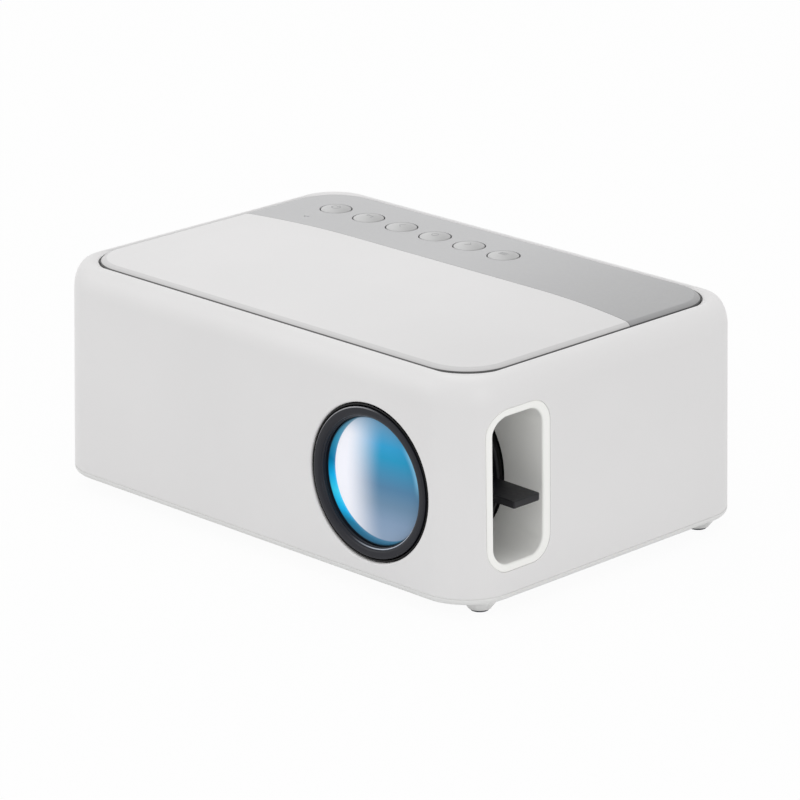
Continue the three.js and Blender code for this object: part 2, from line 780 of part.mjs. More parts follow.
function addIndicator() {
  const length = lidTopZ - deckUnderZ;
  const pipe = turned('z', [
    [0, -length],
    [indicatorRadius + runningGap, -length],
    [indicatorRadius + runningGap, -(lidTopZ - lidBottomZ) - seamGap / 2],
    [indicatorRadius, -(lidTopZ - lidBottomZ) - seamGap / 2],
    [indicatorRadius, 0],
    [0, 0],
  ], [0, 0, 0], 12);
  const [x, y] = indicatorPlace();
  addPiece('indicator_light_pipe', pipe, 'lightPipe').position.set(x, y, lidTopZ);
}

function footCone([x, y]) {
  return turned('z', [
    [0, padProud],
    [footBottomRadius, padProud],
    [footTopRadius, baseZ],
    [footTopRadius, baseZ + basePlate / 2],
    [0, baseZ + basePlate / 2],
  ], [x, y, 0], smallSides);
}

function baseCover() {
  const lipInset = wallThickness + fitGap;
  const band = quarterTurns.map((turn) => (
    casingRing(baseZ + bandEdgeRadius * (1 - Math.cos(turn)), bandEdgeRadius * (1 - Math.sin(turn)))
  ));
  const tray = loft([...band, casingRing(bandTopZ, 0)])
    .add(loft([
      casingRing(bandTopZ - bandHeight / 2, lipInset),
      casingRing(floorZ + lipHeight, lipInset),
    ]))
    .subtract(loft([
      casingRing(floorZ, lipInset + lipThickness),
      casingRing(floorZ + lipHeight + cutOverrun, lipInset + lipThickness),
    ]));
  const rootZ = floorZ - basePlate / 2;
  const bosses = posts.map(([x, y]) => (
    rod('z', postRadius, rootZ, floorZ + lipHeight, [x, y, 0])
  ));
  const standoffs = boardScrews().map(([x, y]) => (
    rod('z', standoffRadius, rootZ, boardZ0 - fitGap / 2, [x, y, 0], 10)
  ));
  const engineFeet = engineSupports().map(([x, y]) => (
    rod('z', standoffRadius, rootZ, engineBottomZ - fitGap / 2, [x, y, 0], 10)
  ));
  const speakerRing = speakerSeat();
  const bushSeat = rod('z', bushRadius + runningGap + bushWall, rootZ,
    baseZ + bushHeight, bushPlace(), mediumSides);
  const fanGuides = fanGuideBlocks();
  const whole = union([
    tray, ...bosses, ...standoffs, ...engineFeet, speakerRing, bushSeat, ...fanGuides,
    ...feet.map(footCone),
  ]);
  const screwHoles = posts.flatMap(([x, y]) => [
    rod('z', screwHeadRadius + runningGap, baseZ - cutOverrun,
      baseZ + screwHeadHeight + fitGap * 2, [x, y, 0]),
    rod('z', screwShankRadius + runningGap, baseZ - cutOverrun, postBottomZ, [x, y, 0]),
  ]);
  const padHoles = feet.map(([x, y]) => (
    rod('z', padRadius + runningGap, -cutOverrun, padHeight + seamGap, [x, y, 0])
  ));
  const [bushX, bushY] = bushPlace();
  const bushHole = rod('z', bushRadius + runningGap, baseZ - cutOverrun,
    baseZ + bushHeight + cutOverrun, [bushX, bushY, 0], mediumSides);
  const sinkMiddle = (sinkX0 + sinkX1) / 2;
  const vents = row(baseVentCount, ventPitch, sinkMiddle).map((x) => slot(
    'z', [x, foldY], ventWidth / 2, baseVentLength / 2, baseZ - cutOverrun, floorZ + cutOverrun / 2,
  ));
  const [speakerX, speakerY] = speakerPlace();
  const grille = row(grilleCount, ventPitch, speakerX).map((x) => slot(
    'z', [x, speakerY], ventWidth / 2, grilleLength / 2, baseZ - cutOverrun, floorZ + cutOverrun / 2,
  ));
  const bezelRelief = rod('y', bezelFlangeRadius + fitGap, frontY,
    frontY + wallThickness + lipThickness * 2, [lensX, 0, lensZ], mediumSides);
  return cutAll(whole, [
    ...screwHoles, ...padHoles, bushHole, ...vents, ...grille, ...boardPilots(), bezelRelief,
  ]);
}

function speakerPlace() {
  return [-speakerFromBush, -bodyDepth / 2 + speakerFromFront, 0];
}

function bushPlace() {
  return [0, -bodyDepth / 2 + bushFromFront, 0];
}

function speakerSeat() {
  const inner = speakerRadius + runningGap;
  const [x, y] = speakerPlace();
  return turned('z', [
    [inner, floorZ - basePlate / 2],
    [inner + speakerRingWall, floorZ - basePlate / 2],
    [inner + speakerRingWall, floorZ + speakerRingHeight],
    [inner, floorZ + speakerRingHeight],
    [inner, floorZ - basePlate / 2],
  ], [x, y, 0], mediumSides);
}

function addSpeaker() {
  const seat = floorZ + fitGap;
  const frontRadius = speakerRadius;
  const basket = turned('z', [
    [0, seat],
    [frontRadius, seat],
    [frontRadius, seat + speakerDepth / 3],
    [speakerMagnetRadius + speakerRingWall, seat + speakerDepth],
    [0, seat + speakerDepth],
  ]);
  const magnet = rod('z', speakerMagnetRadius, seat + speakerDepth - speakerRingWall,
    seat + speakerDepth + speakerMagnetDepth, [0, 0, 0], mediumSides);
  addPiece('speaker', basket.add(magnet), 'blackPlastic').position.set(...speakerPlace());
}

function boardScrews() {
  const x = boardHalfLength - keyBoardScrewInset;
  return [
    [-x, boardFrontY + keyBoardScrewInset],
    [x, boardFrontY + keyBoardScrewInset],
  ];
}

function boardPilots() {
  return boardScrews().map(([x, y]) => (
    rod('z', screwShankRadius / 2 + seamGap, floorZ - basePlate / 4, boardZ0, [x, y, 0])
  ));
}

function engineSupports() {
  const inset = standoffRadius * 2;
  return [
    [engineX0 + inset, engineFrontY + inset],
    [lensX + inset, engineFrontY + inset],
    [engineX0 + inset, engineBackY - inset],
    [lensX - mirrorReach - inset, engineBackY - inset],
  ];
}

function fanGuideBlocks() {
  const sides = [foldY - fanSize / 2 - fitGap - fanGuide, foldY + fanSize / 2 + fitGap];
  return sides.map((y) => (
    block([fanX0, fanX1], [y, y + fanGuide], [floorZ - basePlate / 2, floorZ + fanGuideHeight])
  ));
}

function addFeetPads() {
  const pad = turned('z', [
    [0, 0], [padRadius - seamGap, 0], [padRadius, seamGap], [padRadius, padHeight], [0, padHeight],
  ], [0, 0, 0], smallSides);
  feet.forEach(([x, y], i) => {
    addPiece(`foot_pad_${i + 1}`, pad, 'rubber').position.set(x, y, 0);
  });
}

function addCaseScrews() {
  const start = fitGap;
  const screw = turned('z', [
    [0, start],
    [screwHeadRadius, start],
    [screwHeadRadius, start + screwHeadHeight],
    [screwShankRadius, start + screwHeadHeight],
    [screwShankRadius, screwLength],
    [0, screwLength],
  ], [0, 0, 0], smallSides);
  const drive = union([0, 1].map((quarter) => {
    const half = driveShares.map((share) => share * screwHeadRadius);
    const [hx, hy] = quarter ? half : [...half].reverse();
    return block([-hx, hx], [-hy, hy], [start - cutOverrun, start + screwHeadHeight / 2]);
  }));
  const body = screw.subtract(drive);
  posts.forEach(([x, y], i) => {
    addPiece(`case_screw_${i + 1}`, body, 'steel').position.set(x, y, baseZ);
  });
}

function addTripodBush() {
  const bush = turned('z', [
    [bushBoreRadius, 0],
    [bushRadius, 0],
    [bushRadius, bushHeight],
    [bushBoreRadius, bushHeight],
    [bushBoreRadius, 0],
  ], [0, 0, 0], mediumSides);
  const [x, y] = bushPlace();
  addPiece('tripod_bush', bush, 'brass').position.set(x, y, baseZ);
}

function windowLiner() {
  const flange = pushed(
    roundedOutline(frameY, windowZ, frameHalfWidth,
      windowHalfHeight + frameBandEnd, windowCornerRadius + frameBandEnd),
    'x', rightX - wallThickness, bodyWidth / 2 + cutOverrun,
  ).intersect(casing);
  const tunnel = pushed(
    roundedOutline(windowY, windowZ, windowWidth / 2 + linerWall,
      windowHalfHeight + linerWall, windowCornerRadius + linerWall),
    'x', rightX - linerDepth, rightX - wallThickness / 2,
  );
  const opening = pushed(
    roundedOutline(windowY, windowZ, windowWidth / 2, windowHalfHeight, windowCornerRadius),
    'x', rightX - linerDepth - cutOverrun, bodyWidth / 2 + cutOverrun,
  );
  const sweep = rod('y', flangeRadius + ringSweepGap, windowY0 - linerWall - cutOverrun,
    windowY1 - linerWall / 2, [lensX, 0, lensZ], largeSides);
  const shoulder = rod('y', ringOuterRadius + fitGap, windowY0, windowY1 + linerWall + cutOverrun,
    [lensX, 0, lensZ], largeSides);
  return cutAll(flange.add(tunnel), [opening, sweep, shoulder]);
}

// Everything on the lens axis is placed from the front face, with y inwards
function addObjective() {
  const group = new THREE.Group();
  group.position.set(lensX, frontY, lensZ);
  projector.add(group);

  const plateY0 = flangeFromFront + shoulderLength;
  const plateY1 = plateY0 + mountPlate;

  const bezelInner = bezelOuterRadius - bezelWall;
  const flangeY0 = wallThickness + fitGap;
  const bezel = turned('y', [
    [bezelInner, bezelRecess],
    [bezelOuterRadius, bezelRecess],
    [bezelOuterRadius, flangeY0],
    [bezelFlangeRadius, flangeY0],
    [bezelFlangeRadius, flangeY0 + bezelFlangeThickness],
    [bezelInner, flangeY0 + bezelFlangeThickness],
    [bezelInner, bezelRecess],
  ], [0, 0, 0], largeSides);
  addPiece('lens_bezel', bezel, 'blackPlastic', group);

  const cellGroup = new THREE.Group();
  cellGroup.position.set(0, -cellProud, 0);
  group.add(cellGroup);

  const bore = cellBodyRadius - cellWall;
  const seatY = frontGlassRecess + frontGlassEdge + fitGap;
  const rearBore = rearGlassRadius + fitGap;
  const rearSeat = cellLength - rearGlassEdge * 2 - rearGlassSag;
  const cell = turned('y', [
    [bore + cellChamfer, cellDish],
    [(bore + cellHeadRadius) / 2, 0],
    [cellHeadRadius - cellChamfer, 0],
    [cellHeadRadius, cellChamfer],
    [cellHeadRadius, cellHeadLength],
    [cellBodyRadius, cellHeadLength],
    [cellBodyRadius, cellLength],
    [rearBore, cellLength],
    [rearBore, rearSeat],
    [rearBore - cellWall * 2, rearSeat],
    [rearBore - cellWall * 2, seatY],
    [bore, seatY],
    [bore, cellDish + cellChamfer],
    [bore + cellChamfer, cellDish],
  ], [0, 0, 0], largeSides);
  addPiece('lens_cell', cell, 'darkRing', cellGroup);

  const frontGlass = lensSolid('y', bore - seamGap, frontGlassSag, frontGlassRecess, frontGlassEdge, 0);
  addPiece('front_glass', frontGlass, 'glass', cellGroup);

  const rearStart = rearSeat + fitGap;
  const rearGlass = lensSolid('y', rearGlassRadius, rearGlassSag, rearStart, rearGlassEdge,
    rearGlassSag);
  addPiece('rear_glass', rearGlass, 'glass', cellGroup);

  const mountTube = turned('y', [
    [tubeInnerRadius, ringStart],
    [tubeOuterRadius, ringStart],
    [tubeOuterRadius, flangeFromFront + fitGap],
    [ringOuterRadius, flangeFromFront + fitGap],
    [ringOuterRadius, plateY0 + mountPlate / 2],
    [tubeInnerRadius, plateY0 + mountPlate / 2],
    [tubeInnerRadius, ringStart],
  ], [0, 0, 0], largeSides);
  const plateHalf = lensAboveBase - basePlate - fitGap;
  const mountFlange = block([-plateHalf, plateHalf], [plateY0, plateY1], [-plateHalf, plateHalf])
    .subtract(rod('y', tubeInnerRadius, plateY0 - cutOverrun, plateY1 + cutOverrun,
      [0, 0, 0], largeSides));
  addPiece('lens_mount', mountTube.add(mountFlange), 'innerBlack', group);

  const ring = turned('y', [
    [ringInnerRadius, ringStart],
    [ringOuterRadius, ringStart],
    [ringOuterRadius, flangeFromFront - flangeThickness],
    [flangeRadius, flangeFromFront - flangeThickness],
    [flangeRadius, flangeFromFront],
    [ringInnerRadius, flangeFromFront],
    [ringInnerRadius, ringStart],
  ], [0, 0, 0], largeSides);
  const tipX = rightX - lensX + leverProud;
  const leverX0 = ringInnerRadius + ringWall / 2;
  const leverY1 = flangeFromFront - flangeThickness - leverFromFlange;
  const leverY0 = leverY1 - leverWidth;
  const paddle = pushed(
    roundedOutline((leverX0 + tipX) / 2, (leverY0 + leverY1) / 2, (tipX - leverX0) / 2,
      leverWidth / 2, leverCornerRadius, 4),
    'z', -leverThickness / 2, leverThickness / 2,
  );
  const root = block([leverX0, flangeRadius], [leverY0, leverY1],
    [-leverThickness / 2, leverThickness / 2]);
  const lever = paddle.add(root).rotate([0, -leverRestDegrees, 0]);
  addPiece('focus_ring', ring.add(lever), 'blackPlastic', group);
}

function engineOutline(inset, diagonal) {
  const shape = new THREE.Shape();
  const [x0, x1] = [engineX0 + inset, engineX1 - inset];
  const [y0, y1] = [engineFrontY + inset, engineBackY - inset];
  shape.moveTo(x0, y0);
  shape.lineTo(x1, y0);
  shape.lineTo(x1, diagonal - x1);
  shape.lineTo(diagonal - y1, y1);
  shape.lineTo(x0, y1);
  return shape;
}

const engineSpan = lensX - mirrorReach - engineInnerX0;
const stations = stationShares.map((share) => engineInnerX0 + share * engineSpan);

function addEngine() {
  const outer = pushed(engineOutline(0, diagonalOuter), 'z', engineBottomZ, engineTopZ);
  const inner = pushed(engineOutline(engineWall, diagonalInner), 'z',
    engineFloorZ, engineTopZ + cutOverrun);
  const lensPort = rod('y', cellBodyRadius + fitGap, engineFrontY - cutOverrun,
    engineInnerY0 + cutOverrun, [lensX, 0, lensZ], largeSides);
  const ledPort = block([engineX0 - cutOverrun, engineInnerX0 + cutOverrun],
    [foldY - ledBoardHalf - fitGap, foldY + ledBoardHalf + fitGap],
    [opticsZ - ledBoardHalf - fitGap, opticsZ + ledBoardHalf + fitGap]);
  const thicknesses = [holderThickness, sheetThickness, panelGlassThickness, sheetThickness];
  const ribs = stations.flatMap((x, i) => [-1, 1].flatMap((side) => {
    const middle = x + side * (thicknesses[i] / 2 + fitGap + ribWidth / 2);
    const zRange = [engineFloorZ - engineFloor / 2, engineTopZ];
    return [
      block([middle - ribWidth / 2, middle + ribWidth / 2],
        [engineInnerY0 - engineWall / 2, engineInnerY0 + ribDepth], zRange),
      block([middle - ribWidth / 2, middle + ribWidth / 2],
        [engineInnerY1 - ribDepth, engineInnerY1 + engineWall / 2], zRange),
    ];
  }));
  const housing = cutAll(outer, [inner, lensPort, ledPort]).add(union(ribs));
  addPiece('light_engine_housing', housing, 'innerBlack');

  const coverZ = engineTopZ + seamGap;
  const cover = pushed(engineOutline(0, diagonalOuter), 'z', coverZ, coverZ + engineLid);
  addPiece('light_engine_cover', cover, 'innerBlack');

  const [y0, y1] = [engineInnerY0 + fitGap, engineInnerY1 - fitGap];
  const [z0, z1] = [opticsZ - opticsHalf, opticsZ + opticsHalf];
  const sheet = (x, thickness) => block([x - thickness / 2, x + thickness / 2], [y0, y1], [z0, z1]);
  const holder = sheet(stations[0], holderThickness).subtract(rod('x', condenserRadius + seamGap,
    stations[0] - holderThickness, stations[0] + holderThickness, [0, foldY, opticsZ], mediumSides));
  addPiece('condenser_holder', holder, 'whiteBoard');
  const condenser = lensSolid('x', condenserRadius, condenserSag / 4, stations[0] - condenserEdge / 2,
    condenserEdge, condenserSag, [0, foldY, opticsZ]);
  addPiece('condenser_lens', condenser, 'glass');
  addPiece('collimating_sheet', sheet(stations[1], sheetThickness), 'clearSheet');
  addPiece('display_panel', sheet(stations[2], panelGlassThickness), 'panelGlass');
  addPiece('field_sheet', sheet(stations[3], sheetThickness), 'clearSheet');

  const length = mirrorReach * 2 * Math.SQRT2;
  const mirror = block([-length / 2, length / 2], [0, mirrorThickness], [z0, z1]).rotate([0, 0, -45])
    .translate([lensX, foldY, 0]);
  addPiece('fold_mirror', mirror, 'mirror');
}

function addLamp() {
  const board = block([engineX0, engineX0 + ledBoardThickness],
    [foldY - ledBoardHalf, foldY + ledBoardHalf], [opticsZ - ledBoardHalf, opticsZ + ledBoardHalf]);
  const dome = turned('x', [
    [0, engineX0 + ledBoardThickness / 2],
    [ledDomeRadius, engineX0 + ledBoardThickness / 2],
    ...capProfile(ledDomeRadius, ledDomeHeight, engineX0 + ledBoardThickness, 1, 3).reverse(),
  ], [0, foldY, opticsZ], 24);
  addPiece('led_lamp', board.add(dome), 'lamp');

  const sinkZ = [opticsZ - sinkHalfHeight, opticsZ + sinkHalfHeight];
  const sinkBody = block([sinkX1 - sinkBase, sinkX1],
    [foldY - sinkHalfDepth, foldY + sinkHalfDepth], sinkZ);
  const finPitch = (2 * sinkHalfDepth - sinkFinThickness) / (sinkFinCount - 1);
  const fins = row(sinkFinCount, finPitch, foldY).map((y) => block(
    [sinkX0, sinkX1 - sinkBase / 2],
    [y - sinkFinThickness / 2, y + sinkFinThickness / 2],
    sinkZ,
  ));
  addPiece('heat_sink', sinkBody.add(union(fins)), 'aluminium');
}

// The fan is built about its own axis, along x from its outlet face
function addFan() {
  const group = new THREE.Group();
  group.position.set(fanX0, foldY, floorZ + fitGap + fanSize / 2);
  projector.add(group);

  const half = fanSize / 2;
  const duct = rod('x', fanBoreRadius, -cutOverrun, fanThickness + cutOverrun, [0, 0, 0], 48);
  const holes = feetOfSquare(half - fanHoleInset).map(([y, z]) => (
    rod('x', fanHoleRadius, -cutOverrun, fanThickness + cutOverrun, [0, y, z], 12)
  ));
  const struts = [0, 1].map((quarter) => {
    const [hy, hz] = quarter ? [fanStrutWidth / 2, half - fitGap] : [half - fitGap, fanStrutWidth / 2];
    return block([0, fanPlate], [-hy, hy], [-hz, hz]);
  });
  const hubPlate = rod('x', fanHubRadius, 0, fanPlate, [0, 0, 0], 28);
  const bush = rod('x', fanShaftRadius + fitGap + fanPlate, 0, fanThickness / 2, [0, 0, 0], smallSides);
  const bushBore = rod('x', fanShaftRadius + fitGap, fanPlate / 2, fanThickness, [0, 0, 0], smallSides);
  const frame = cutAll(block([0, fanThickness], [-half, half], [-half, half]), [duct, ...holes])
    .add(union([...struts, hubPlate, bush])).subtract(bushBore);
  addPiece('fan_frame', frame, 'blackPlastic', group);

  const cupX0 = fanPlate + fitGap;
  const cupX1 = fanThickness - fitGap;
  const cupWall = fanPlate;
  const cup = turned('x', [
    [0, cupX1],
    [0, fanPlate],
    [fanShaftRadius, fanPlate],
    [fanShaftRadius, cupX1 - cupWall],
    [fanHubRadius - cupWall, cupX1 - cupWall],
    [fanHubRadius - cupWall, cupX0],
    [fanHubRadius, cupX0],
    [fanHubRadius, cupX1],
    [0, cupX1],
  ], [0, 0, 0], smallSides);
  const bladeReach = fanBoreRadius - fanTipGap;
  const bladeChord = (cupX1 - cupX0) * bladeChordShare;
  const blades = Array.from({ length: fanBladeCount }, (_, i) => block(
    [-bladeChord / 2, bladeChord / 2],
    [-fanBladeThickness / 2, fanBladeThickness / 2],
    [fanHubRadius - cupWall / 2, bladeReach],
  ).rotate([0, 0, fanBladeDegrees]).translate([(cupX0 + cupX1) / 2, 0, 0])
    .rotate([(360 * i) / fanBladeCount, 0, 0]));
  addPiece('fan_rotor', cup.add(union(blades)), 'blackPlastic', group);
}

const feetOfSquare = (half) => [[-half, -half], [half, -half], [half, half], [-half, half]];

function addMainBoard() {
  const board = block([-boardHalfLength, boardHalfLength], [boardFrontY, boardBackY],
    [boardZ0, boardTopZ]);
  const holes = boardScrews().map(([x, y]) => rod('z', screwShankRadius / 2 + seamGap,
    boardZ0 - cutOverrun, boardTopZ + cutOverrun, [x, y, 0]));
  addPiece('main_board', cutAll(board, holes), 'board');
  const screw = turned('z', [
    [0, -boardLift],
    [screwShankRadius / 2, -boardLift],
    [screwShankRadius / 2, seamGap / 2],
    [screwHeadRadius / 2, seamGap / 2],
    [screwHeadRadius / 2, screwHeadHeight / 2],
    [0, screwHeadHeight / 2],
  ], [0, 0, 0], 12);
  boardScrews().forEach(([x, y], i) => {
    addPiece(`board_screw_${i + 3}`, screw, 'steel').position.set(x, y, boardTopZ);
  });
  sockets.forEach(addSocket);
}

function addSocket({ name, kind, x, width, height, depth, bore, pin }) {
  const mouthY = backInnerY - socketSetback;
  const body = block([-width / 2, width / 2], [mouthY - depth, mouthY], [0, height]);
  const middle = height / 2;
  const cavityY0 = mouthY - depth + socketShell * 2;
  let socket;
  if (kind === 'round') {
    socket = body.subtract(rod('y', bore, cavityY0, mouthY + cutOverrun, [0, 0, middle], smallSides));
    if (pin) {
      socket = socket.add(rod('y', pin, cavityY0 - socketShell, mouthY - socketShell, [0, 0, middle]));
    }
  } else {
    const half = width / 2 - socketShell;
    const cavity = block([-half, half], [cavityY0, mouthY + cutOverrun],
      [socketShell, height - socketShell]);
    const tongueHalf = half - socketShell * 2;
    const tongueThickness = (height - 2 * socketShell) / 4;
    const tongue = block([-tongueHalf, tongueHalf],
      [cavityY0 - socketShell, mouthY - socketShell * 2],
      [middle - tongueThickness / 2, middle + tongueThickness / 2]);
    socket = body.subtract(cavity).add(tongue);
  }
  addPiece(name, socket, kind === 'round' ? 'blackPlastic' : 'steel').position.set(x, 0, boardTopZ);
}

addPiece('upper_shell', upperShell(), 'whiteShell');
addPiece('base_cover', baseCover(), 'whiteCover');
addPiece('top_plate', topPlate(), 'whiteShell');
addPiece('button_panel', buttonPanel(), 'greyPanel');
addPiece('window_liner', windowLiner(), 'whiteCover');
addFeetPads();
addCaseScrews();
addTripodBush();
addButtons();
addIndicator();
addKeyBoard();
addObjective();
addEngine();
addLamp();
addFan();
addMainBoard();
addSpeaker();

export default projector;
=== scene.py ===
import math

import bmesh
import bpy
from mathutils import Matrix, Vector

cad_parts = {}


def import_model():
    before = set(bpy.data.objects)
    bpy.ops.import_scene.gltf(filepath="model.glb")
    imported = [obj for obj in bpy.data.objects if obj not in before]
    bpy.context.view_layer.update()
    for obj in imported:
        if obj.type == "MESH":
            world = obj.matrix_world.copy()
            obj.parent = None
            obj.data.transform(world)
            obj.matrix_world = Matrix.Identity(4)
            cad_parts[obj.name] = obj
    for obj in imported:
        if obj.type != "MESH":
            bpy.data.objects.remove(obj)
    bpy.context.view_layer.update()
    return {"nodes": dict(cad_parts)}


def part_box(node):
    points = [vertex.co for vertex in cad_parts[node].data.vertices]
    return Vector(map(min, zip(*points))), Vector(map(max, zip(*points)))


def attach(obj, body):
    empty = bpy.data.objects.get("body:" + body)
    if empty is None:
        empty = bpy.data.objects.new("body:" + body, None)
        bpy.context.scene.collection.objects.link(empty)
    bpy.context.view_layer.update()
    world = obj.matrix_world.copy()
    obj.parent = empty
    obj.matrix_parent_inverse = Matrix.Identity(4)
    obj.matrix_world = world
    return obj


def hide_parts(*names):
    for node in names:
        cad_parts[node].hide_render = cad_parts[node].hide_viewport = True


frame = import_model()
nodes = frame["nodes"]
scene = bpy.context.scene

# A pico projector. Lengths are in millimetres, as in the solids, and MM turns them into metres.
MM = 0.001

# Casing
BODY_WIDTH = 133
BODY_DEPTH = 91.4
BODY_HEIGHT = 50.35
BASE_Z = 3.2
WALL = 2
DRAFT = math.tan(math.radians(0.85))
CORNER_RADIUS = 12
SEAM_GAP = 0.2
FIT_GAP = 0.3
RIM_OUTER = 3.4
RIM_SHOULDER = 6.4
RIM_INNER = 0.55
RIM_WIDTH = RIM_OUTER + RIM_INNER
CREST_Z = BASE_Z + BODY_HEIGHT
RECESS_Z = CREST_Z - 1.6
DECK_UNDER_Z = RECESS_Z - 1.8
BAND_TOP_Z = BASE_Z + 1.4
SHELL_BOTTOM_Z = BAND_TOP_Z + SEAM_GAP
FLOOR_Z = BASE_Z + 2
SIDE_TOP_Z = CREST_Z - RIM_SHOULDER

# Lid
LID_TOP_Z = CREST_Z + 0.5
LID_BOTTOM_Z = RECESS_Z + SEAM_GAP
LID_CORNER = 11.5
LID_EDGE = 2
LID_EDGE_DROP = 1.5
PANEL_DEPTH = 26.55
PANEL_STRAIGHT = 58
PANEL_BEND = 130
LID_SPLIT = 0.1

# Buttons
BUTTON_PITCH = 10.9
BUTTON_RADIUS = 3.65
BUTTON_GAP = 0.25
BUTTON_Y = BODY_DEPTH / 2 - 17.7
BUTTON_X = [-BODY_WIDTH / 2 + 18.6 + i * BUTTON_PITCH for i in range(6)]
BUTTON_DOME = 0.45
FLANGE_RADIUS = 4.5
BUTTON_EDGE = 0.3
STEM_RADIUS = 1.4
STEM_END = -3.15  # just over the tact switches when pressed
MARK_WIDTH = 0.2
MARK_HEIGHT = 0.03
INDICATOR = (BUTTON_X[0] - 0.5, BUTTON_Y - 9.2)

# Base
BAND_EDGE = 1.2
LIP_INSET = WALL + FIT_GAP
LIP_THICKNESS = 1.5
LIP_TOP_Z = FLOOR_Z + 3
FEET = [(sx * (BODY_WIDTH / 2 - 6.3), sy * (BODY_DEPTH / 2 - 10.3))
        for sx, sy in ((-1, -1), (1, -1), (1, 1), (-1, 1))]
POST_Y = BODY_DEPTH / 2 - 7.7
POSTS = [(-50, -POST_Y), (-10.4, -POST_Y), (50, POST_Y), (-50, POST_Y)]
BUSH = (0, -BODY_DEPTH / 2 + 14)
SPEAKER = (-25.6, -BODY_DEPTH / 2 + 15.5)
FOLD_Y = 4.942
SINK_MIDDLE_X = -42.353
VENT_WIDTH = 2
VENT_PITCH = 4

# Lens
LENS_X = BODY_WIDTH / 2 - 29.9
LENS_Z = BASE_Z + 22
FRONT_Y = -(BODY_DEPTH / 2 - DRAFT * (LENS_Z - BASE_Z))
RIGHT_X = BODY_WIDTH / 2 - DRAFT * (LENS_Z - BASE_Z)
LENS_HOLE = 17.75
HOLE_EDGE = 0.5
RING_OUTER = 17.8
FLANGE_Y = 20.9
FLANGE_THICKNESS = 0.8
FLANGE_OUTER = 18.95
FLANGE_SWEEP = 20.1  # the room it turns in
LEVER_WIDTH = 8.2
LEVER_THICKNESS = 1.7
LEVER_PROUD = 1.5
LEVER_BEHIND = 0.7
LEVER_TILT = 0.8

# Window
WINDOW_FAR_Y = FRONT_Y + 23.2
WINDOW_WIDTH = 14.7
WINDOW_Y = WINDOW_FAR_Y - WINDOW_WIDTH / 2
WINDOW_Z = LENS_Z + 2.6
WINDOW_HALF = 16.5
WINDOW_RADIUS = 4
BAND_FRONT = 1.55
BAND_BACK = 2.1
BAND_END = 1.6
# How far the frame's outline is let out: in front, at its seat, and for the hole round it
FRAME_GAP = 0.02
FRAME_SEAT = 0.13
FRAME_HOLE = 0.14
LINER_WALL = 1.2
LINER_DEPTH = 20

SMOOTH_ANGLE = 34
CORNER_STEPS = 24


def half_width(z):
    return BODY_WIDTH / 2 - DRAFT * (z - BASE_Z)


def half_depth(z):
    return BODY_DEPTH / 2 - DRAFT * (z - BASE_Z)


# ---- materials ----

def srgb(*values):
    """Linear colour from 0 to 255 display values."""
    linear = []
    for value in values:
        v = value / 255
        linear.append(v / 12.92 if v <= 0.04045 else ((v + 0.055) / 1.055) ** 2.4)
    return (*linear, 1.0)


def shade(colour, factor):
    return tuple(min(1, c * factor) for c in colour[:3]) + (1,)


def connect(tree, value, socket):
    """Links another node's output, or sets a plain value."""
    if hasattr(value, "is_linked"):
        tree.links.new(value, socket)
    else:
        socket.default_value = value


def add_node(tree, kind, *first, **others):
    """A node with its first inputs in their order and the others by name."""
    node = tree.nodes.new("ShaderNode" + kind)
    for value, socket in zip(first, node.inputs):
        connect(tree, value, socket)
    for key, value in others.items():
        connect(tree, value, node.inputs[key.replace("_", " ")])
    return node


class Nodes:
    """Short names for building a material's nodes."""

    def __init__(self, name):
        self.material = bpy.data.materials.new(name)
        self.material.use_nodes = True
        self.tree = self.material.node_tree
        self.shader = self.tree.nodes["Principled BSDF"]
        self.object = self.add("TexCoord").outputs["Object"]

    def add(self, kind, *first, **others):
        return add_node(self.tree, kind, *first, **others)

    def set(self, **values):
        for key, value in values.items():
            connect(self.tree, value, self.shader.inputs[key.replace("_", " ")])

    def math(self, operation, *values):
        node = self.add("Math", *values)
        node.operation = operation
        return node.outputs[0]

    def between(self, value, low, high, out_low=0.0, out_high=1.0, smooth=True):
        node = self.add("MapRange", value, low, high, out_low, out_high)
        node.interpolation_type = "SMOOTHSTEP" if smooth else "LINEAR"
        return node.outputs[0]

    def drift(self, noise, low=0.0, high=1.0):
        """Spreads the noise's usual values, 0.3 to 0.7, from low to high."""
        return self.between(noise, 0.3, 0.7, low, high)

    def mix(self, factor, a, b):
        node = self.add("Mix")
        node.data_type = "RGBA"
        for value, index in ((factor, 0), (a, 6), (b, 7)):
            connect(self.tree, value, node.inputs[index])
        return node.outputs[2]

    def noise(self, scale, detail=2.0, vector=None):
        node = self.add("TexNoise", Scale=scale, Detail=detail, Vector=vector or self.object)
        return node.outputs["Fac"]

    def bump(self, height, strength):
        node = self.add("Bump", Strength=strength, Distance=BUMP_DISTANCE, Height=height)
        self.set(Normal=node.outputs["Normal"])

    def xyz(self):
        return self.add("SeparateXYZ", self.object).outputs

    def from_lens(self):
        """How far a place is to the right of the lens axis and above it."""
        x, _, z = self.xyz()
        return self.math("SUBTRACT", x, LENS_X * MM), self.math("SUBTRACT", z, LENS_Z * MM)

    def length(self, a, b):
        squares = self.math("ADD", self.math("MULTIPLY", a, a), self.math("MULTIPLY", b, b))
        return self.math("SQRT", squares)


BUMP_DISTANCE = 0.00002


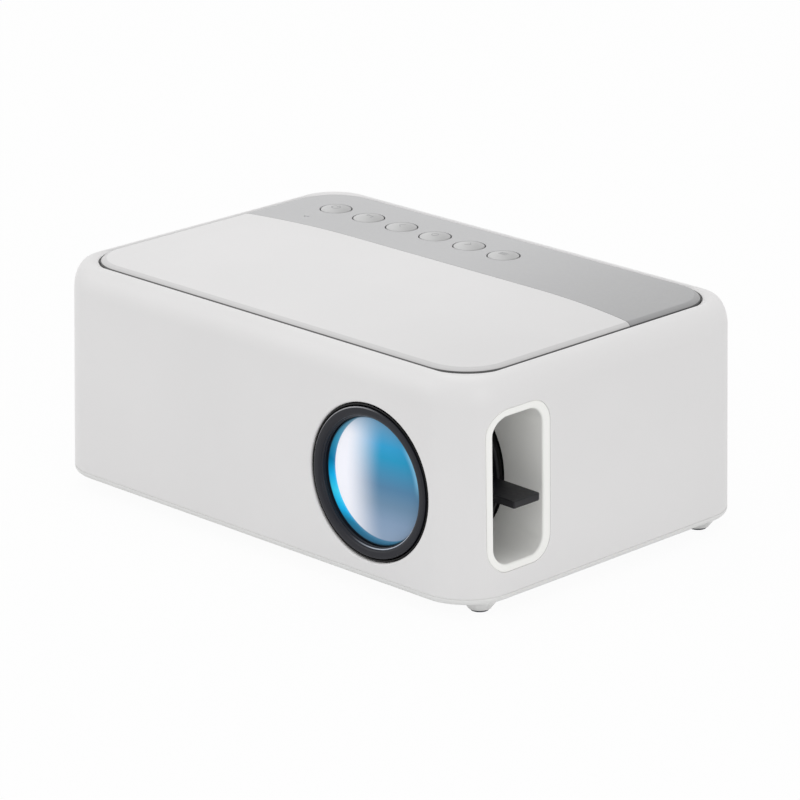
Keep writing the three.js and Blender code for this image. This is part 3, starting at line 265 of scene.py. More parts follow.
def plastic(name, colour, roughness, spread=0.012, grain=1400, depth=0.05, specular=0.5,
            coat=0.0, paint=None):
    """Moulded plastic: a slow drift of colour, a fine satin grain and its sparkle. Paint is a
    function that changes the colour by place."""
    n = Nodes(name)
    colour = srgb(*colour)
    colour = n.mix(n.drift(n.noise(22, 3)), shade(colour, 1 - spread), shade(colour, 1 + spread))
    fine = n.noise(grain, 4)
    n.bump(fine, depth)
    n.set(Base_Color=paint(n, colour) if paint else colour,
          Roughness=n.drift(fine, roughness - 0.03, roughness + 0.03),
          Specular_IOR_Level=specular, Coat_Weight=coat, Coat_Roughness=0.1)
    return n.material


def metal(name, colour, roughness, stretch=(1, 1, 1)):
    """Metal with the fine marks of rolling, turning or plating."""
    n = Nodes(name)
    colour = srgb(*colour)
    fine = n.noise(900, 4, n.add("Mapping", Vector=n.object, Scale=stretch).outputs[0])
    n.bump(fine, 0.08)
    n.set(Base_Color=n.mix(fine, shade(colour, 0.9), colour), Metallic=1.0,
          Roughness=n.drift(fine, roughness - 0.06, roughness + 0.06))
    return n.material


def clear(name, colour, roughness, transmission):
    """Clear glass or plastic with a faint haze."""
    n = Nodes(name)
    colour = srgb(*colour)
    haze = n.noise(60, 3)
    n.set(Base_Color=n.mix(haze, shade(colour, 0.94), colour),
          Roughness=n.drift(haze, roughness, roughness + 0.03),
          Transmission_Weight=transmission, IOR=1.5)
    return n.material


NO_LIGHT = (0, 0, 0, 1)
# Painted shade on the lid, with a painted dark gap at its foot: heights over the casing's crest
# that it starts and ends at, light left
LID_PAINTED_SHADES = ((0.495, 0.42, 0.84), (0.35, -0.1, 0.92), (-0.14, -0.24, 0.13))
# Painted highlights on the lens ring: inner and outer radius, the way they face, colour
PAINTED_GLINTS = ((16.7, 16.85, -0.88, 0.48, (168, 168, 172)),
          (14.7, 14.84, 0.8, -0.6, (196, 202, 212)))
GLINT_BLUR = 0.05
# Painted shade on the buttons: light left at their right side, and its reach
BUTTON_SHADE = 0.72
BUTTON_SHADE_REACH = 4


def lid_painted_shade(right_share):
    """The lid's colour with painted shade: darker round its edge down to a painted dark gap, and a
    little darker to the right.
    """
    def paint(n, colour):
        x, _, z = n.xyz()
        # Painted shade: darker towards the right end
        share = n.between(x, 0.0, BODY_WIDTH / 2 * MM, 1.0, right_share, smooth=False)
        # Painted shade round the edge, down to a painted dark gap below the crest
        for high, low, low_share in LID_PAINTED_SHADES:
            step = n.between(z, (CREST_Z + high) * MM, (CREST_Z + low) * MM, 1.0, low_share)
            share = n.math("MULTIPLY", share, step)
        return n.mix(share, NO_LIGHT, colour)
    return paint


def painted_ring_glints(n, colour):
    """Two painted highlights on the lens ring: its outer edge at the upper left and the bevel
    inside its bore at the lower right."""
    u, v = n.from_lens()
    radius = n.length(u, v)
    for inner, outer, du, dv, tint in PAINTED_GLINTS:
        along = n.math("ADD", n.math("MULTIPLY", u, du), n.math("MULTIPLY", v, dv))
        facing = n.between(n.math("DIVIDE", along, radius), 0.2, 0.8)
        band = n.math("MULTIPLY", n.between(radius, (inner - GLINT_BLUR) * MM, inner * MM),
                      n.between(radius, (outer + GLINT_BLUR) * MM, outer * MM))
        colour = n.mix(n.math("MULTIPLY", band, facing), colour, srgb(*tint))
    return colour


def painted_button_shade(n, colour):
    """Painted shade on each button's dome: a little lighter at the left and darker at the right."""
    x, y, _ = n.xyz()
    start = (BUTTON_X[0] - BUTTON_PITCH / 2) * MM
    place = n.math("FLOORED_MODULO", n.math("SUBTRACT", x, start), BUTTON_PITCH * MM)
    across = n.math("ADD", place, n.math("SUBTRACT", y, (BUTTON_Y + BUTTON_PITCH / 2) * MM))
    reach = BUTTON_SHADE_REACH * MM
    return n.mix(n.between(across, -reach, reach, 1.0, BUTTON_SHADE), NO_LIGHT, colour)


WHITE = plastic("white_shell", (231, 230, 230), 0.42)
# Painted shade round the lid's edges, darker towards the right
LID_WHITE = plastic("lid_white", (231, 230, 230), 0.42, paint=lid_painted_shade(0.91))
COVER = plastic("white_cover", (230, 230, 229), 0.45)
# A lighter white than the shell's, painted light that brightens the shaded pocket behind the window
POCKET = plastic("pocket_white_painted_light", (250, 250, 247), 0.5)
# The same painted shade on the grey panel, darker still towards the right
GREY = plastic("grey_panel", (190, 190, 191), 0.36, spread=0.015, paint=lid_painted_shade(0.7))
GREY_BUTTON = plastic("grey_button", (201, 201, 201), 0.34, paint=painted_button_shade)
BLACK = plastic("black_plastic", (24, 24, 28), 0.42, spread=0.04, grain=1100, depth=0.1,
                specular=0.3)
GLOSS = plastic("black_gloss", (9, 9, 10), 0.2, spread=0.05, specular=0.2)
RING = plastic("dark_ring", (30, 31, 38), 0.34, spread=0.03, specular=0.25, paint=painted_ring_glints)
INNER = plastic("inner_black", (26, 26, 29), 0.6, spread=0.06)
RUBBER = plastic("dark_rubber", (58, 61, 70), 0.8, spread=0.06, grain=700, depth=0.3)
HOLDER = plastic("white_holder", (226, 223, 212), 0.5)
STEEL = metal("screw_steel", (150, 153, 157), 0.32)
SOCKET_STEEL = metal("socket_steel", (196, 198, 200), 0.28, (1, 8, 1))
GOLD = metal("contact_gold", (222, 186, 106), 0.25)
BRASS = metal("brass_bush", (196, 160, 92), 0.33, (1, 1, 12))
ALUMINIUM = metal("sink_aluminium", (198, 200, 204), 0.38, (1, 1, 10))
PIPE = plastic("light_pipe", (176, 178, 180), 0.25, coat=0.5)
MARK = plastic("button_mark", (164, 164, 166), 0.5)
CLEAR_SHEET = clear("clear_sheet", (214, 226, 230), 0.05, 0.85)
LENS_GLASS = clear("inner_glass", (206, 226, 236), 0.02, 0.9)
PANEL_GLASS = plastic("panel_glass", (34, 36, 42), 0.12, coat=1.0)
MIRROR = metal("mirror_silver", (226, 229, 232), 0.06)
LAMP = plastic("lamp_yellow", (240, 220, 120), 0.4)


def board_material():
    """Green solder mask with lighter tracks just under it."""
    n = Nodes("circuit_board")
    brick = n.add("TexBrick", Scale=260, Mortar_Size=0.09, Color1=srgb(24, 84, 56),
                  Color2=srgb(28, 92, 62), Mortar=srgb(52, 122, 84), Vector=n.object)
    n.set(Base_Color=brick.outputs["Color"], Roughness=n.drift(n.noise(300), 0.35, 0.5))
    return n.material


# The front element: its coating's tint with painted reflections. Places are in millimetres from the
# lens axis. The colours go up the glass, and the crescent lies outside a circle of its own.
GLASS_TOP = 14
GLASS_GROUND = [(-14, (146, 168, 195)), (-8, (130, 155, 184)), (-4, (104, 137, 166)),
                (0, (78, 126, 162)), (4, (54, 139, 180)), (6.5, (26, 148, 192)),
                (9, (40, 156, 206)), (13, (96, 156, 194))]
GLASS_CRESCENT = [(-14, (62, 116, 150)), (-11, (40, 132, 172)), (-8.5, (30, 190, 250)),
                  (-5, (60, 218, 255)), (-1.5, (20, 184, 244)), (2, (8, 128, 178)),
                  (7, (58, 156, 194)), (13, (104, 148, 172))]
CRESCENT_MIDDLE = (2.4, 1.3)
CRESCENT_RADIUS = 14.0


def glass_material():
    """The front element's coating tint with painted reflections: a pale lavender painted highlight
    on the left that turns to blue on the right, bluer at the top and greyer at the bottom, with a
    cyan crescent, a painted reflection, at the left rim."""
    n = Nodes("lens_coating_painted_reflections")
    u, v = (n.math("MULTIPLY", value, 1 / MM) for value in n.from_lens())

    def distance(cu, cv):
        return n.length(n.math("SUBTRACT", u, cu), n.math("SUBTRACT", v, cv))

    def by_height(stops):
        node = n.add("ValToRGB", n.between(v, -GLASS_TOP, GLASS_TOP, smooth=False))
        elements = node.color_ramp.elements
        elements.remove(elements[1])
        for i, (height, colour) in enumerate(stops):
            position = (height + GLASS_TOP) / (2 * GLASS_TOP)
            element = elements.new(position) if i else elements[0]
            element.position = position
            element.color = srgb(*colour)
        return node.outputs[0]

    out = distance(0, 0)
    # A pale painted reflection over the left side, fainter near the top
    left = n.math("MULTIPLY", n.between(u, 3.4, -8.6), n.between(v, 14.5, 9, 0.45, 1.0))
    colour = n.mix(left, by_height(GLASS_GROUND), srgb(246, 247, 255))
    # A painted highlight along the upper right edge
    painted_sliver = n.math("MULTIPLY", n.between(out, 12.0, 13.6),
                    n.between(distance(13.5, 6), 7.5, 2.5))
    colour = n.mix(painted_sliver, colour, srgb(138, 202, 236))
    # The cyan crescent at the left rim, a painted reflection
    inside = n.math("SUBTRACT", CRESCENT_RADIUS, distance(*CRESCENT_MIDDLE))
    colour = n.mix(n.between(inside, 0.2, -0.15), colour, by_height(GLASS_CRESCENT))
    # A dark rim of painted shade where the glass meets its cell
    colour = n.mix(n.between(out, 13.95, 14.3), colour, srgb(40, 64, 78))
    # A faint glow in the surface's own colours, painted light, makes the coating brighter than a
    # lit surface could be
    n.set(Base_Color=colour, Roughness=n.drift(n.noise(40), 0.16, 0.2), Coat_Weight=0.2,
          Coat_Roughness=0.03, Specular_IOR_Level=0.12, Emission_Color=colour,
          Emission_Strength=0.14)
    return n.material


COATING_AND_PAINTED_REFLECTIONS = glass_material()
BOARD = board_material()

# ---- mesh helpers ----

def add_object(name, verts, faces, material):
    mesh = bpy.data.meshes.new(name)
    mesh.from_pydata([Vector(v) * MM for v in verts], [], faces)
    obj = bpy.data.objects.new(name, mesh)
    scene.collection.objects.link(obj)
    if material:
        mesh.materials.append(material)
    work = bmesh.new()
    work.from_mesh(mesh)
    bmesh.ops.remove_doubles(work, verts=work.verts, dist=1e-7)
    bmesh.ops.recalc_face_normals(work, faces=work.faces)
    work.to_mesh(mesh)
    work.free()
    return obj


def loft(name, rings, material=None, closed=False):
    """Joins rings of points. Ends are capped, or the last ring joins the first."""
    count = len(rings[0])
    verts = [point for ring in rings for point in ring]
    faces = []
    for r in range(len(rings) if closed else len(rings) - 1):
        a, b = r * count, (r + 1) % len(rings) * count
        for i in range(count):
            j = (i + 1) % count
            faces.append((a + i, a + j, b + j, b + i))
    if not closed:
        faces += [tuple(range(count)), tuple(range(len(verts) - count, len(verts)))]
    return add_object(name, verts, faces, material)


def lathe(name, profile, axis, at, material=None, steps=96):
    """Turns a profile of (radius, distance along the axis) about Y or Z."""
    turn = circle(0, 0, 1, steps)
    verts = []
    starts = []
    for radius, along in profile:
        on_axis = radius < 1e-6
        starts.append((len(verts), on_axis))
        for p, q in [(0, 0)] if on_axis else [(radius * c, radius * s) for c, s in turn]:
            local = (q, along, p) if axis == "y" else (p, q, along)
            verts.append(tuple(a + b for a, b in zip(local, at)))
    pairs = list(zip(starts, starts[1:]))
    if not starts[0][1]:
        pairs.append((starts[-1], starts[0]))
    faces = []
    for (a, a_on_axis), (b, b_on_axis) in pairs:
        for i in range(steps):
            j = (i + 1) % steps
            if a_on_axis:
                faces.append((a, b + j, b + i))
            elif b_on_axis:
                faces.append((a + i, a + j, b))
            else:
                faces.append((a + i, a + j, b + j, b + i))
    return add_object(name, verts, faces, material)


def cylinder(radius, low, high):
    return [(0, low), (radius, low), (radius, high), (0, high)]


def upright(profile, x, y, steps=64):
    """A turned solid to join to another or to cut it with."""
    return lathe("cutter", profile, "z", (x, y, 0), steps=steps)


def lens_cutter(profile, steps=128):
    return lathe("cutter", profile, "y", (LENS_X, 0, LENS_Z), steps=steps)


def circle(cx, cy, radius, steps=64):
    return [(cx + radius * math.cos(2 * math.pi * i / steps),
             cy + radius * math.sin(2 * math.pi * i / steps)) for i in range(steps)]


def level(outline, z):
    return [(x, y, z) for x, y in outline]


def rounded_rectangle(half_x, half_y, radius, steps=CORNER_STEPS, spacing=None):
    """Points round a rectangle, with more along its sides where spacing is given."""
    points = []
    for quarter, (sx, sy) in enumerate(((1, 1), (-1, 1), (-1, -1), (1, -1))):
        for i in range(steps + 1):
            angle = (quarter + i / steps) * math.pi / 2
            points.append((sx * (half_x - radius) + radius * math.cos(angle),
                           sy * (half_y - radius) + radius * math.sin(angle)))
    if spacing is None:
        return points
    dense = []
    side_counts = [max(1, round(2 * (half - radius) / spacing)) for half in (half_x, half_y)]
    for index, point in enumerate(points):
        dense.append(point)
        if index % (steps + 1) == steps:
            after = points[(index + 1) % len(points)]
            count = side_counts[(index // (steps + 1)) % 2]
            for k in range(1, count):
                dense.append(tuple(a + (b - a) * k / count for a, b in zip(point, after)))
    return dense


def casing_ring(z, inset):
    return level(rounded_rectangle(half_width(z) - inset, half_depth(z) - inset,
                                   CORNER_RADIUS - inset), z)


def roll(steps, start=0):
    """Angles of a quarter turn."""
    return [math.pi / 2 * i / steps for i in range(start, steps + 1)]


def bake(obj):
    """Applies the object's modifiers."""
    bpy.context.view_layer.update()
    graph = bpy.context.evaluated_depsgraph_get()
    mesh = bpy.data.meshes.new_from_object(obj.evaluated_get(graph), preserve_all_data_layers=True,
                                           depsgraph=graph)
    obj.modifiers.clear()
    old = obj.data
    obj.data = mesh
    bpy.data.meshes.remove(old)


def boolean(obj, cutters, operation="DIFFERENCE"):
    for cutter in cutters:
        modifier = obj.modifiers.new("boolean", "BOOLEAN")
        modifier.operation = operation
        modifier.solver = "EXACT"
        modifier.object = cutter
    bake(obj)
    for cutter in cutters:
        bpy.data.objects.remove(cutter)


def soften(obj, width, angle):
    """Rounds every edge sharper than the angle."""
    modifier = obj.modifiers.new("bevel", "BEVEL")
    modifier.width = width * MM
    modifier.segments = 2
    modifier.limit_method = "ANGLE"
    modifier.angle_limit = math.radians(angle)
    modifier.use_clamp_overlap = True
    bake(obj)


def smooth(obj, angle=SMOOTH_ANGLE, weighted=True):
    mesh = obj.data
    mesh.shade_smooth()
    mesh.set_sharp_from_angle(angle=math.radians(angle))
    if weighted:
        modifier = obj.modifiers.new("normals", "WEIGHTED_NORMAL")
        modifier.keep_sharp = True
        modifier.weight = 50
        bake(obj)
    return obj


def piece(obj, body, slot, *replaced):
    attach(obj, body)
    if replaced:
        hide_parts(*replaced)


# ---- cutters with rounded mouths ----

MOUTH_LIFT = 0.006


def mouth_profile(fillet, depth):
    """(outward offset, depth below the surface) from above the surface to the cut's end. The
    lift keeps the fillet's start just above the surface."""
    rounded = [(fillet * (1 - math.sin(angle)), fillet * (1 - math.cos(angle)) - MOUTH_LIFT)
               for angle in roll(4)]
    return [(fillet, -1.0), *rounded, (0, depth)]


def wall_point(side, u, v, depth):
    """A point at a depth under the casing's surface. Sides: front and back use u = x, and
    left and right use u = y; v = z."""
    sides = (half_depth(v), half_width(v))
    flat, reach = sides if side in ("front", "back") else sides[::-1]
    past = min(max(0.0, abs(u) - (reach - CORNER_RADIUS)), CORNER_RADIUS * 0.999)
    surface = flat - CORNER_RADIUS + math.sqrt(CORNER_RADIUS ** 2 - past ** 2)
    out = (surface - depth) * (-1 if side in ("front", "left") else 1)
    return (u, out, v) if side in ("front", "back") else (out, u, v)


def offset_outline(outline, distance):
    """Moves a closed counter-clockwise outline outwards."""
    moved = []
    count = len(outline)
    for i, (x, y) in enumerate(outline):
        ax, ay = outline[i - 1]
        bx, by = outline[(i + 1) % count]
        dx, dy = bx - ax, by - ay
        length = math.hypot(dx, dy) or 1
        moved.append((x + dy / length * distance, y - dx / length * distance))
    return moved


def wall_cutter(side, outline, fillet, depth):
    return loft("cutter", [
        [wall_point(side, u, v, under) for u, v in offset_outline(outline, offset)]
        for offset, under in mouth_profile(fillet, depth)])


def floor_cutter(outline, z, fillet, depth, up=True):
    """A cut into a level face at z, from below when up is true."""
    sign = 1 if up else -1
    return loft("cutter", [level(offset_outline(outline, offset), z + sign * under)
                           for offset, under in mouth_profile(fillet, depth)])


def shifted(outline, u, v):
    return [(a + u, b + v) for a, b in outline]


def slot_outline(u, v, half_u, half_v):
    radius = min(half_u, half_v) * 0.999
    return shifted(rounded_rectangle(half_u, half_v, radius, 10), u, v)


# ---- holes for the sockets ----

MOUTH_Y = 42.553


def d_outline(half_u, half_v):
    """The HDMI mouth: a rectangle whose lower corners are cut off."""
    cut = 2.2
    corners = [(half_u, half_v), (-half_u, half_v), (-half_u, -half_v + cut * 0.8),
               (-half_u + cut, -half_v), (half_u - cut, -half_v), (half_u, -half_v + cut * 0.8)]
    outline = []
    for i, corner in enumerate(corners):
        here = Vector(corner)
        for toward in (corners[i - 1], corners[(i + 1) % len(corners)]):
            outline.append(tuple(here + (Vector(toward) - here).normalized() * 0.35))
    return outline


# Half width and height, depth behind the mouth, and then the bore of a round socket and of its
# hole in the casing, or the contacts and the tongue they sit on: how far its ends stay from the
# sides, its thickness, and how far it lies above the middle
SOCKETS = {
    "dc_inlet": dict(half=(4, 4), depth=11, bore=3, hole=3.6),
    "hdmi_socket": dict(half=(7.5, 3), depth=11, contacts=10, tongue=(2.0, 1.2, 0.3)),
    "usb_socket": dict(half=(7, 3.5), depth=12, contacts=4, tongue=(1.1, 1.8, 0.9)),
    "av_jack": dict(half=(3.2, 3.2), depth=12, bore=1.8, hole=2.4),
    "card_slot": dict(half=(6.5, 1.3), depth=12, contacts=8, tongue=(1.2, 0.5, -0.35)),
}
for socket_name, socket in SOCKETS.items():
    low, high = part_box(socket_name)
    socket["x"] = (low.x + high.x) / 2 / MM
    socket["z"] = (low.z + high.z) / 2 / MM


def socket_hole(name):
    s = SOCKETS[name]
    half_u, half_v = s["half"]
    if "hole" in s:
        outline = circle(0, 0, s["hole"])
    elif name == "hdmi_socket":
        outline = d_outline(half_u + 0.1, half_v + 0.1)
    else:
        outline = rounded_rectangle(half_u, half_v, 0.6, 6)
    return shifted(outline, s["x"], s["z"])


# ---- upper shell ----

LEDGE_DROP = 0.45
LEDGE_SLOPE = 0.45


def recess_ring(share):
    """The way down from the crest into the lid's recess, wide at the corners and short along
    the sides. The share runs from 0 at the crest to 1 at the recess wall."""
    crest = casing_ring(CREST_Z, RIM_OUTER)
    wall = rounded_rectangle(half_width(CREST_Z) - RIM_WIDTH, half_depth(CREST_Z) - RIM_WIDTH,
                             LID_CORNER + FIT_GAP)
    ring = []
    for (ax, ay, _), (bx, by) in zip(crest, wall):
        drop = min(LEDGE_DROP, LEDGE_SLOPE * math.hypot(bx - ax, by - ay)) * share ** 1.4
        ring.append((ax + (bx - ax) * share, ay + (by - ay) * share, CREST_Z - drop))
    return ring


def upper_shell():
    lip = 0.07
    profile = [(DECK_UNDER_Z, WALL), (SHELL_BOTTOM_Z + lip, WALL), (SHELL_BOTTOM_Z, WALL - lip),
               (SHELL_BOTTOM_Z, lip), (SHELL_BOTTOM_Z + lip * 0.3, lip * 0.3),
               (SHELL_BOTTOM_Z + lip, 0)]
    for angle in roll(18):
        profile.append((SIDE_TOP_Z + RIM_SHOULDER * math.sin(angle),
                        RIM_OUTER * (1 - math.cos(angle))))
    rings = [casing_ring(z, inset) for z, inset in profile]
    rings += [recess_ring(i / 8) for i in range(1, 9)]
    for z, scale in ((RECESS_Z + 0.1, 1), (RECESS_Z, 0.999)):
        rings.append([(x * scale, y * scale, z) for x, y, _ in rings[-1]])
    shell = loft("upper_shell_skin", rings, WHITE)

    hole = circle(LENS_X, LENS_Z, LENS_HOLE, 160)
    cutters = [wall_cutter("front", hole, HOLE_EDGE, WALL * 2),
               wall_cutter("right", frame_outline(FRAME_HOLE), 0.1, 6)]
    for i in range(9):
        slit = slot_outline(FOLD_Y, LENS_Z + (i - 4) * VENT_PITCH, 13, VENT_WIDTH / 2)
        cutters.append(wall_cutter("left", slit, 0.25, 4))
    for name in SOCKETS:
        cutters.append(wall_cutter("back", socket_hole(name), 0.3, 4))
    middle = (BUTTON_X[0] + BUTTON_X[-1]) / 2
    half_y = FLANGE_RADIUS + FIT_GAP
    half_x = (BUTTON_X[-1] - BUTTON_X[0]) / 2 + half_y
    well = shifted(rounded_rectangle(half_x, half_y, 2, 8), middle, BUTTON_Y)
    cutters.append(floor_cutter(well, RECESS_Z, 0.2, 3, up=False))
    cutters.append(floor_cutter(circle(*INDICATOR, 1.0, 24), RECESS_Z, 0.1, 3, up=False))
    boolean(shell, cutters)
    piece(smooth(shell), "casing", "white_shell", "upper_shell")


# ---- window liner ----

WINDOW_OUTLINE = rounded_rectangle(WINDOW_WIDTH / 2, WINDOW_HALF, WINDOW_RADIUS, 16, 0.8)
FRAME_Y = WINDOW_Y + (BAND_BACK - BAND_FRONT) / 2
FRAME_HALF = (WINDOW_WIDTH + BAND_FRONT + BAND_BACK) / 2


def frame_outline(extra):
    """The frame's outer outline, with as many points as the window's own."""
    radius = WINDOW_RADIUS + BAND_END
    straight_x = WINDOW_WIDTH / 2 - WINDOW_RADIUS
    straight_y = WINDOW_HALF - WINDOW_RADIUS
    scale_x = (FRAME_HALF + extra - radius) / straight_x
    scale_y = (WINDOW_HALF + BAND_END + extra - radius) / straight_y
    outer = []
    for x, y in WINDOW_OUTLINE:
        px, py = max(-straight_x, min(straight_x, x)), max(-straight_y, min(straight_y, y))
        dx, dy = (x - px) / WINDOW_RADIUS, (y - py) / WINDOW_RADIUS
        outer.append((px * scale_x + dx * radius, py * scale_y + dy * radius))
    return shifted(outer, FRAME_Y, WINDOW_Z)


def window_liner():
    edge = 0.08
    soft = 0.55
    flange_under = WALL - 0.2
    inner_x = RIGHT_X - WALL - LINER_WALL
    far_x = RIGHT_X - LINER_DEPTH
    inner = shifted(WINDOW_OUTLINE, WINDOW_Y, WINDOW_Z)
    back = offset_outline(inner, LINER_WALL)
    outer = frame_outline(FRAME_GAP)
    seated = frame_outline(FRAME_SEAT)
    rings = []

    def between(share):
        return [(a + (c - a) * share, b + (d - b) * share)
                for (a, b), (c, d) in zip(outer, inner)]

    def ring(outline, depth):
        rings.append([wall_point("right", u, v, depth) for u, v in outline])

    def deep_ring(outline, x):
        rings.append([(x, u, v) for u, v in outline])

    ring(seated, flange_under)
    ring(seated, 0.26)
    ring(outer, 0.2)
    ring(outer, edge)
    ring(between(edge * 0.3 / BAND_END), edge * 0.3)
    for share in (edge / BAND_END, 0.25, 0.45, 0.6):
        ring(between(share), 0)
    for angle in roll(6):
        ring(offset_outline(inner, soft * (1 - math.sin(angle))), soft * (1 - math.cos(angle)))
    deep_ring(inner, inner_x)
    deep_ring(inner, far_x + 0.2)
    deep_ring(offset_outline(inner, 0.2), far_x)
    deep_ring(back, far_x)
    deep_ring(back, inner_x)
    ring(back, flange_under)
    liner = loft("window_frame", rings, POCKET, closed=True)
    # Room for the focus ring and its flange to turn in
    boolean(liner, [lens_cutter(cylinder(FLANGE_SWEEP, -45, WINDOW_FAR_Y - 0.6)),
                    lens_cutter(cylinder(RING_OUTER + FIT_GAP, -46, -15))])
    piece(smooth(liner), "casing", "white_cover", "window_liner")


# ---- base cover ----

def base_cover():
    edge = 0.04
    tongue = 0.14
    inner = LIP_INSET + LIP_THICKNESS
    seam_z = SHELL_BOTTOM_Z - 0.01
    profile = [(FLOOR_Z, inner), (LIP_TOP_Z - 0.2, inner), (LIP_TOP_Z, inner - 0.2),
               (LIP_TOP_Z, LIP_INSET + 0.2), (LIP_TOP_Z - 0.2, LIP_INSET), (seam_z, LIP_INSET),
               (seam_z, tongue), (BAND_TOP_Z, tongue), (BAND_TOP_Z, edge),
               (BAND_TOP_Z - edge * 0.3, edge * 0.3), (BAND_TOP_Z - edge, 0)]
    for angle in roll(8):
        profile.append((BASE_Z + BAND_EDGE * (1 - math.sin(angle)),
                        BAND_EDGE * (1 - math.cos(angle))))
    base = loft("base_tray", [casing_ring(z, inset) for z, inset in profile], COVER)

    foot = [(0, 0.5), (2.35, 0.5), (2.52, 0.56), (2.64, 0.72), (4.05, 2.62), (4.3, 2.92),
            (4.7, 3.12), (5.3, 3.21), (5.3, 3.8), (0, 3.8)]
    joined = [upright(foot, x, y) for x, y in FEET]
    joined.append(upright(cylinder(6.85, 4.2, 10.2), *BUSH))
    joined += [upright(cylinder(3, 4.2, LIP_TOP_Z), x, y, 48) for x, y in POSTS]
    boolean(base, joined, "UNION")

    pad_seat = [(0, -1), (2.5, -1), (2.5, 0.45), (2.35, 0.6), (2.35, 1.3), (0, 1.3)]
    screw_hole = [(0, 2), (2.85, 2), (2.85, 3.15), (2.55, 3.45), (2.55, 5.3), (1.45, 5.3),
                  (1.45, 9), (0, 9)]
    bush_hole = [(0, 2), (5.45, 2), (5.45, 3.15), (5.25, 3.4), (5.25, 11), (0, 11)]
    cutters = [upright(pad_seat, x, y) for x, y in FEET]
    cutters += [upright(screw_hole, x, y, 48) for x, y in POSTS]
    cutters.append(upright(bush_hole, *BUSH))
    for count, x, y, half in ((5, SINK_MIDDLE_X, FOLD_Y, 10), (4, *SPEAKER, 7.5)):
        for i in range(count):
            slit = slot_outline(x + (i - (count - 1) / 2) * VENT_PITCH, y, VENT_WIDTH / 2, half)
            cutters.append(floor_cutter(slit, BASE_Z, 0.25, 3))
    cutters.append(lens_cutter(cylinder(19.3, FRONT_Y, FRONT_Y + 5), 96))
    boolean(base, cutters)
    piece(smooth(base), "casing", "white_cover", "base_cover")


# ---- lid ----

def split_line(shift):
    """The curved line between white and grey, from left to right."""
    split_y = half_depth(CREST_Z) - RIM_WIDTH - PANEL_DEPTH + shift
    half = PANEL_STRAIGHT / 2
    swing = math.asin((BODY_WIDTH / 2 - half) / PANEL_BEND)
    points = []
    for i in range(25):
        angle = swing * (1 - i / 24)
        points.append((-half - PANEL_BEND * math.sin(angle),
                       split_y - PANEL_BEND * (1 - math.cos(angle))))
    points += [(-x, y) for x, y in reversed(points)]
    return points


def lid_block(name, material):
    half_x = half_width(CREST_Z) - RIM_WIDTH - FIT_GAP
    half_y = half_depth(CREST_Z) - RIM_WIDTH - FIT_GAP
    rings = []

    def ring(z, inset):
        rings.append(level(rounded_rectangle(half_x - inset, half_y - inset,
                                             LID_CORNER - inset), z))

    ring(LID_BOTTOM_Z, 0.12)
    ring(LID_BOTTOM_Z + 0.12, 0)
    for angle in roll(10):
        ring(LID_TOP_Z - LID_EDGE_DROP * (1 - math.sin(angle)), LID_EDGE * (1 - math.cos(angle)))
    return loft(name, rings, material)


def lid_part(name, material, shift, far_y):
    """The lid without what lies between the shifted split line and far_y."""
    part = lid_block(name, material)
    line = split_line(shift)
    outline = line + [(line[-1][0], far_y), (line[0][0], far_y)]
    boolean(part, [loft("cutter", [level(outline, z) for z in (LID_BOTTOM_Z - 1, LID_TOP_Z + 1)])])
    soften(part, 0.1, 60)
    return part


def top_plate():
    plate = lid_part("lid_front", LID_WHITE, -LID_SPLIT / 2, BODY_DEPTH)
    piece(smooth(plate), "casing", "white_shell", "top_plate")


def button_panel():
    panel = lid_part("lid_panel", GREY, LID_SPLIT / 2, -BODY_DEPTH)
    holes = [circle(x, BUTTON_Y, BUTTON_RADIUS + BUTTON_GAP, 72) for x in BUTTON_X]
    cutters = [floor_cutter(hole, LID_TOP_Z, 0.16, 4, up=False) for hole in holes]
    cutters.append(floor_cutter(circle(*INDICATOR, 0.62, 24), LID_TOP_Z, 0.08, 4, up=False))
    boolean(panel, cutters)
    piece(smooth(panel), "casing", "grey_panel", "button_panel")


# ---- buttons ----

def dome_height(distance):
    sphere = (BUTTON_RADIUS ** 2 + BUTTON_DOME ** 2) / (2 * BUTTON_DOME)
    return math.sqrt(sphere ** 2 - distance ** 2) - (sphere - BUTTON_DOME)


def mark_strip(name, points):
    """A thin raised line that follows the dome of a button."""
    last = len(points) - 1
    verts, faces = [], []
    for i, (x, y) in enumerate(points):
        (ax, ay), (bx, by) = points[max(i - 1, 0)], points[min(i + 1, last)]
        dx, dy = bx - ax, by - ay
        length = math.hypot(dx, dy) or 1
        nx, ny = -dy / length * MARK_WIDTH / 2, dx / length * MARK_WIDTH / 2
        for side, up in ((1, -0.05), (1, MARK_HEIGHT), (-1, MARK_HEIGHT), (-1, -0.05)):
            px, py = x + nx * side, y + ny * side
            verts.append((px, py, dome_height(math.hypot(px, py)) + up))
    for a in range(0, last * 4, 4):
        for k in range(4):
            after = (k + 1) % 4
            faces.append((a + k, a + after, a + 4 + after, a + 4 + k))
    faces += [(0, 1, 2, 3), tuple(last * 4 + k for k in range(4))]
    return add_object(name, verts, faces, MARK)


def arc(cx, cy, radius, start, end, steps=20):
    return [(cx + radius * math.cos(math.radians(start + (end - start) * i / steps)),
             cy + radius * math.sin(math.radians(start + (end - start) * i / steps)))
            for i in range(steps + 1)]


def polyline(*points):
    dense = []
    for a, b in zip(points, points[1:]):
        dense += [tuple(p + (q - p) * k / 6 for p, q in zip(a, b)) for k in range(6)]
    return dense + [points[-1]]


# The lines of each button's symbol: power, back, left, ring, right, menu
BUTTON_MARKS = [
    [arc(0, 0, 1.05, 120, 420), polyline((0, 0.35), (0, 1.35))],
    [polyline((1.1, -0.6), (1.1, 0.5), (-0.9, 0.5)), polyline((-0.5, 1.0), (-1.0, 0.5), (-0.5, 0))],
    [polyline((0.5, 1.0), (-0.6, 0), (0.5, -1.0))],
    [arc(0, 0, 0.8, 0, 360, 28)],
    [polyline((-0.5, 1.0), (0.6, 0), (-0.5, -1.0))],
    [polyline((-1.1, y), (1.1, y)) for y in (0.55, 0, -0.55)],
]


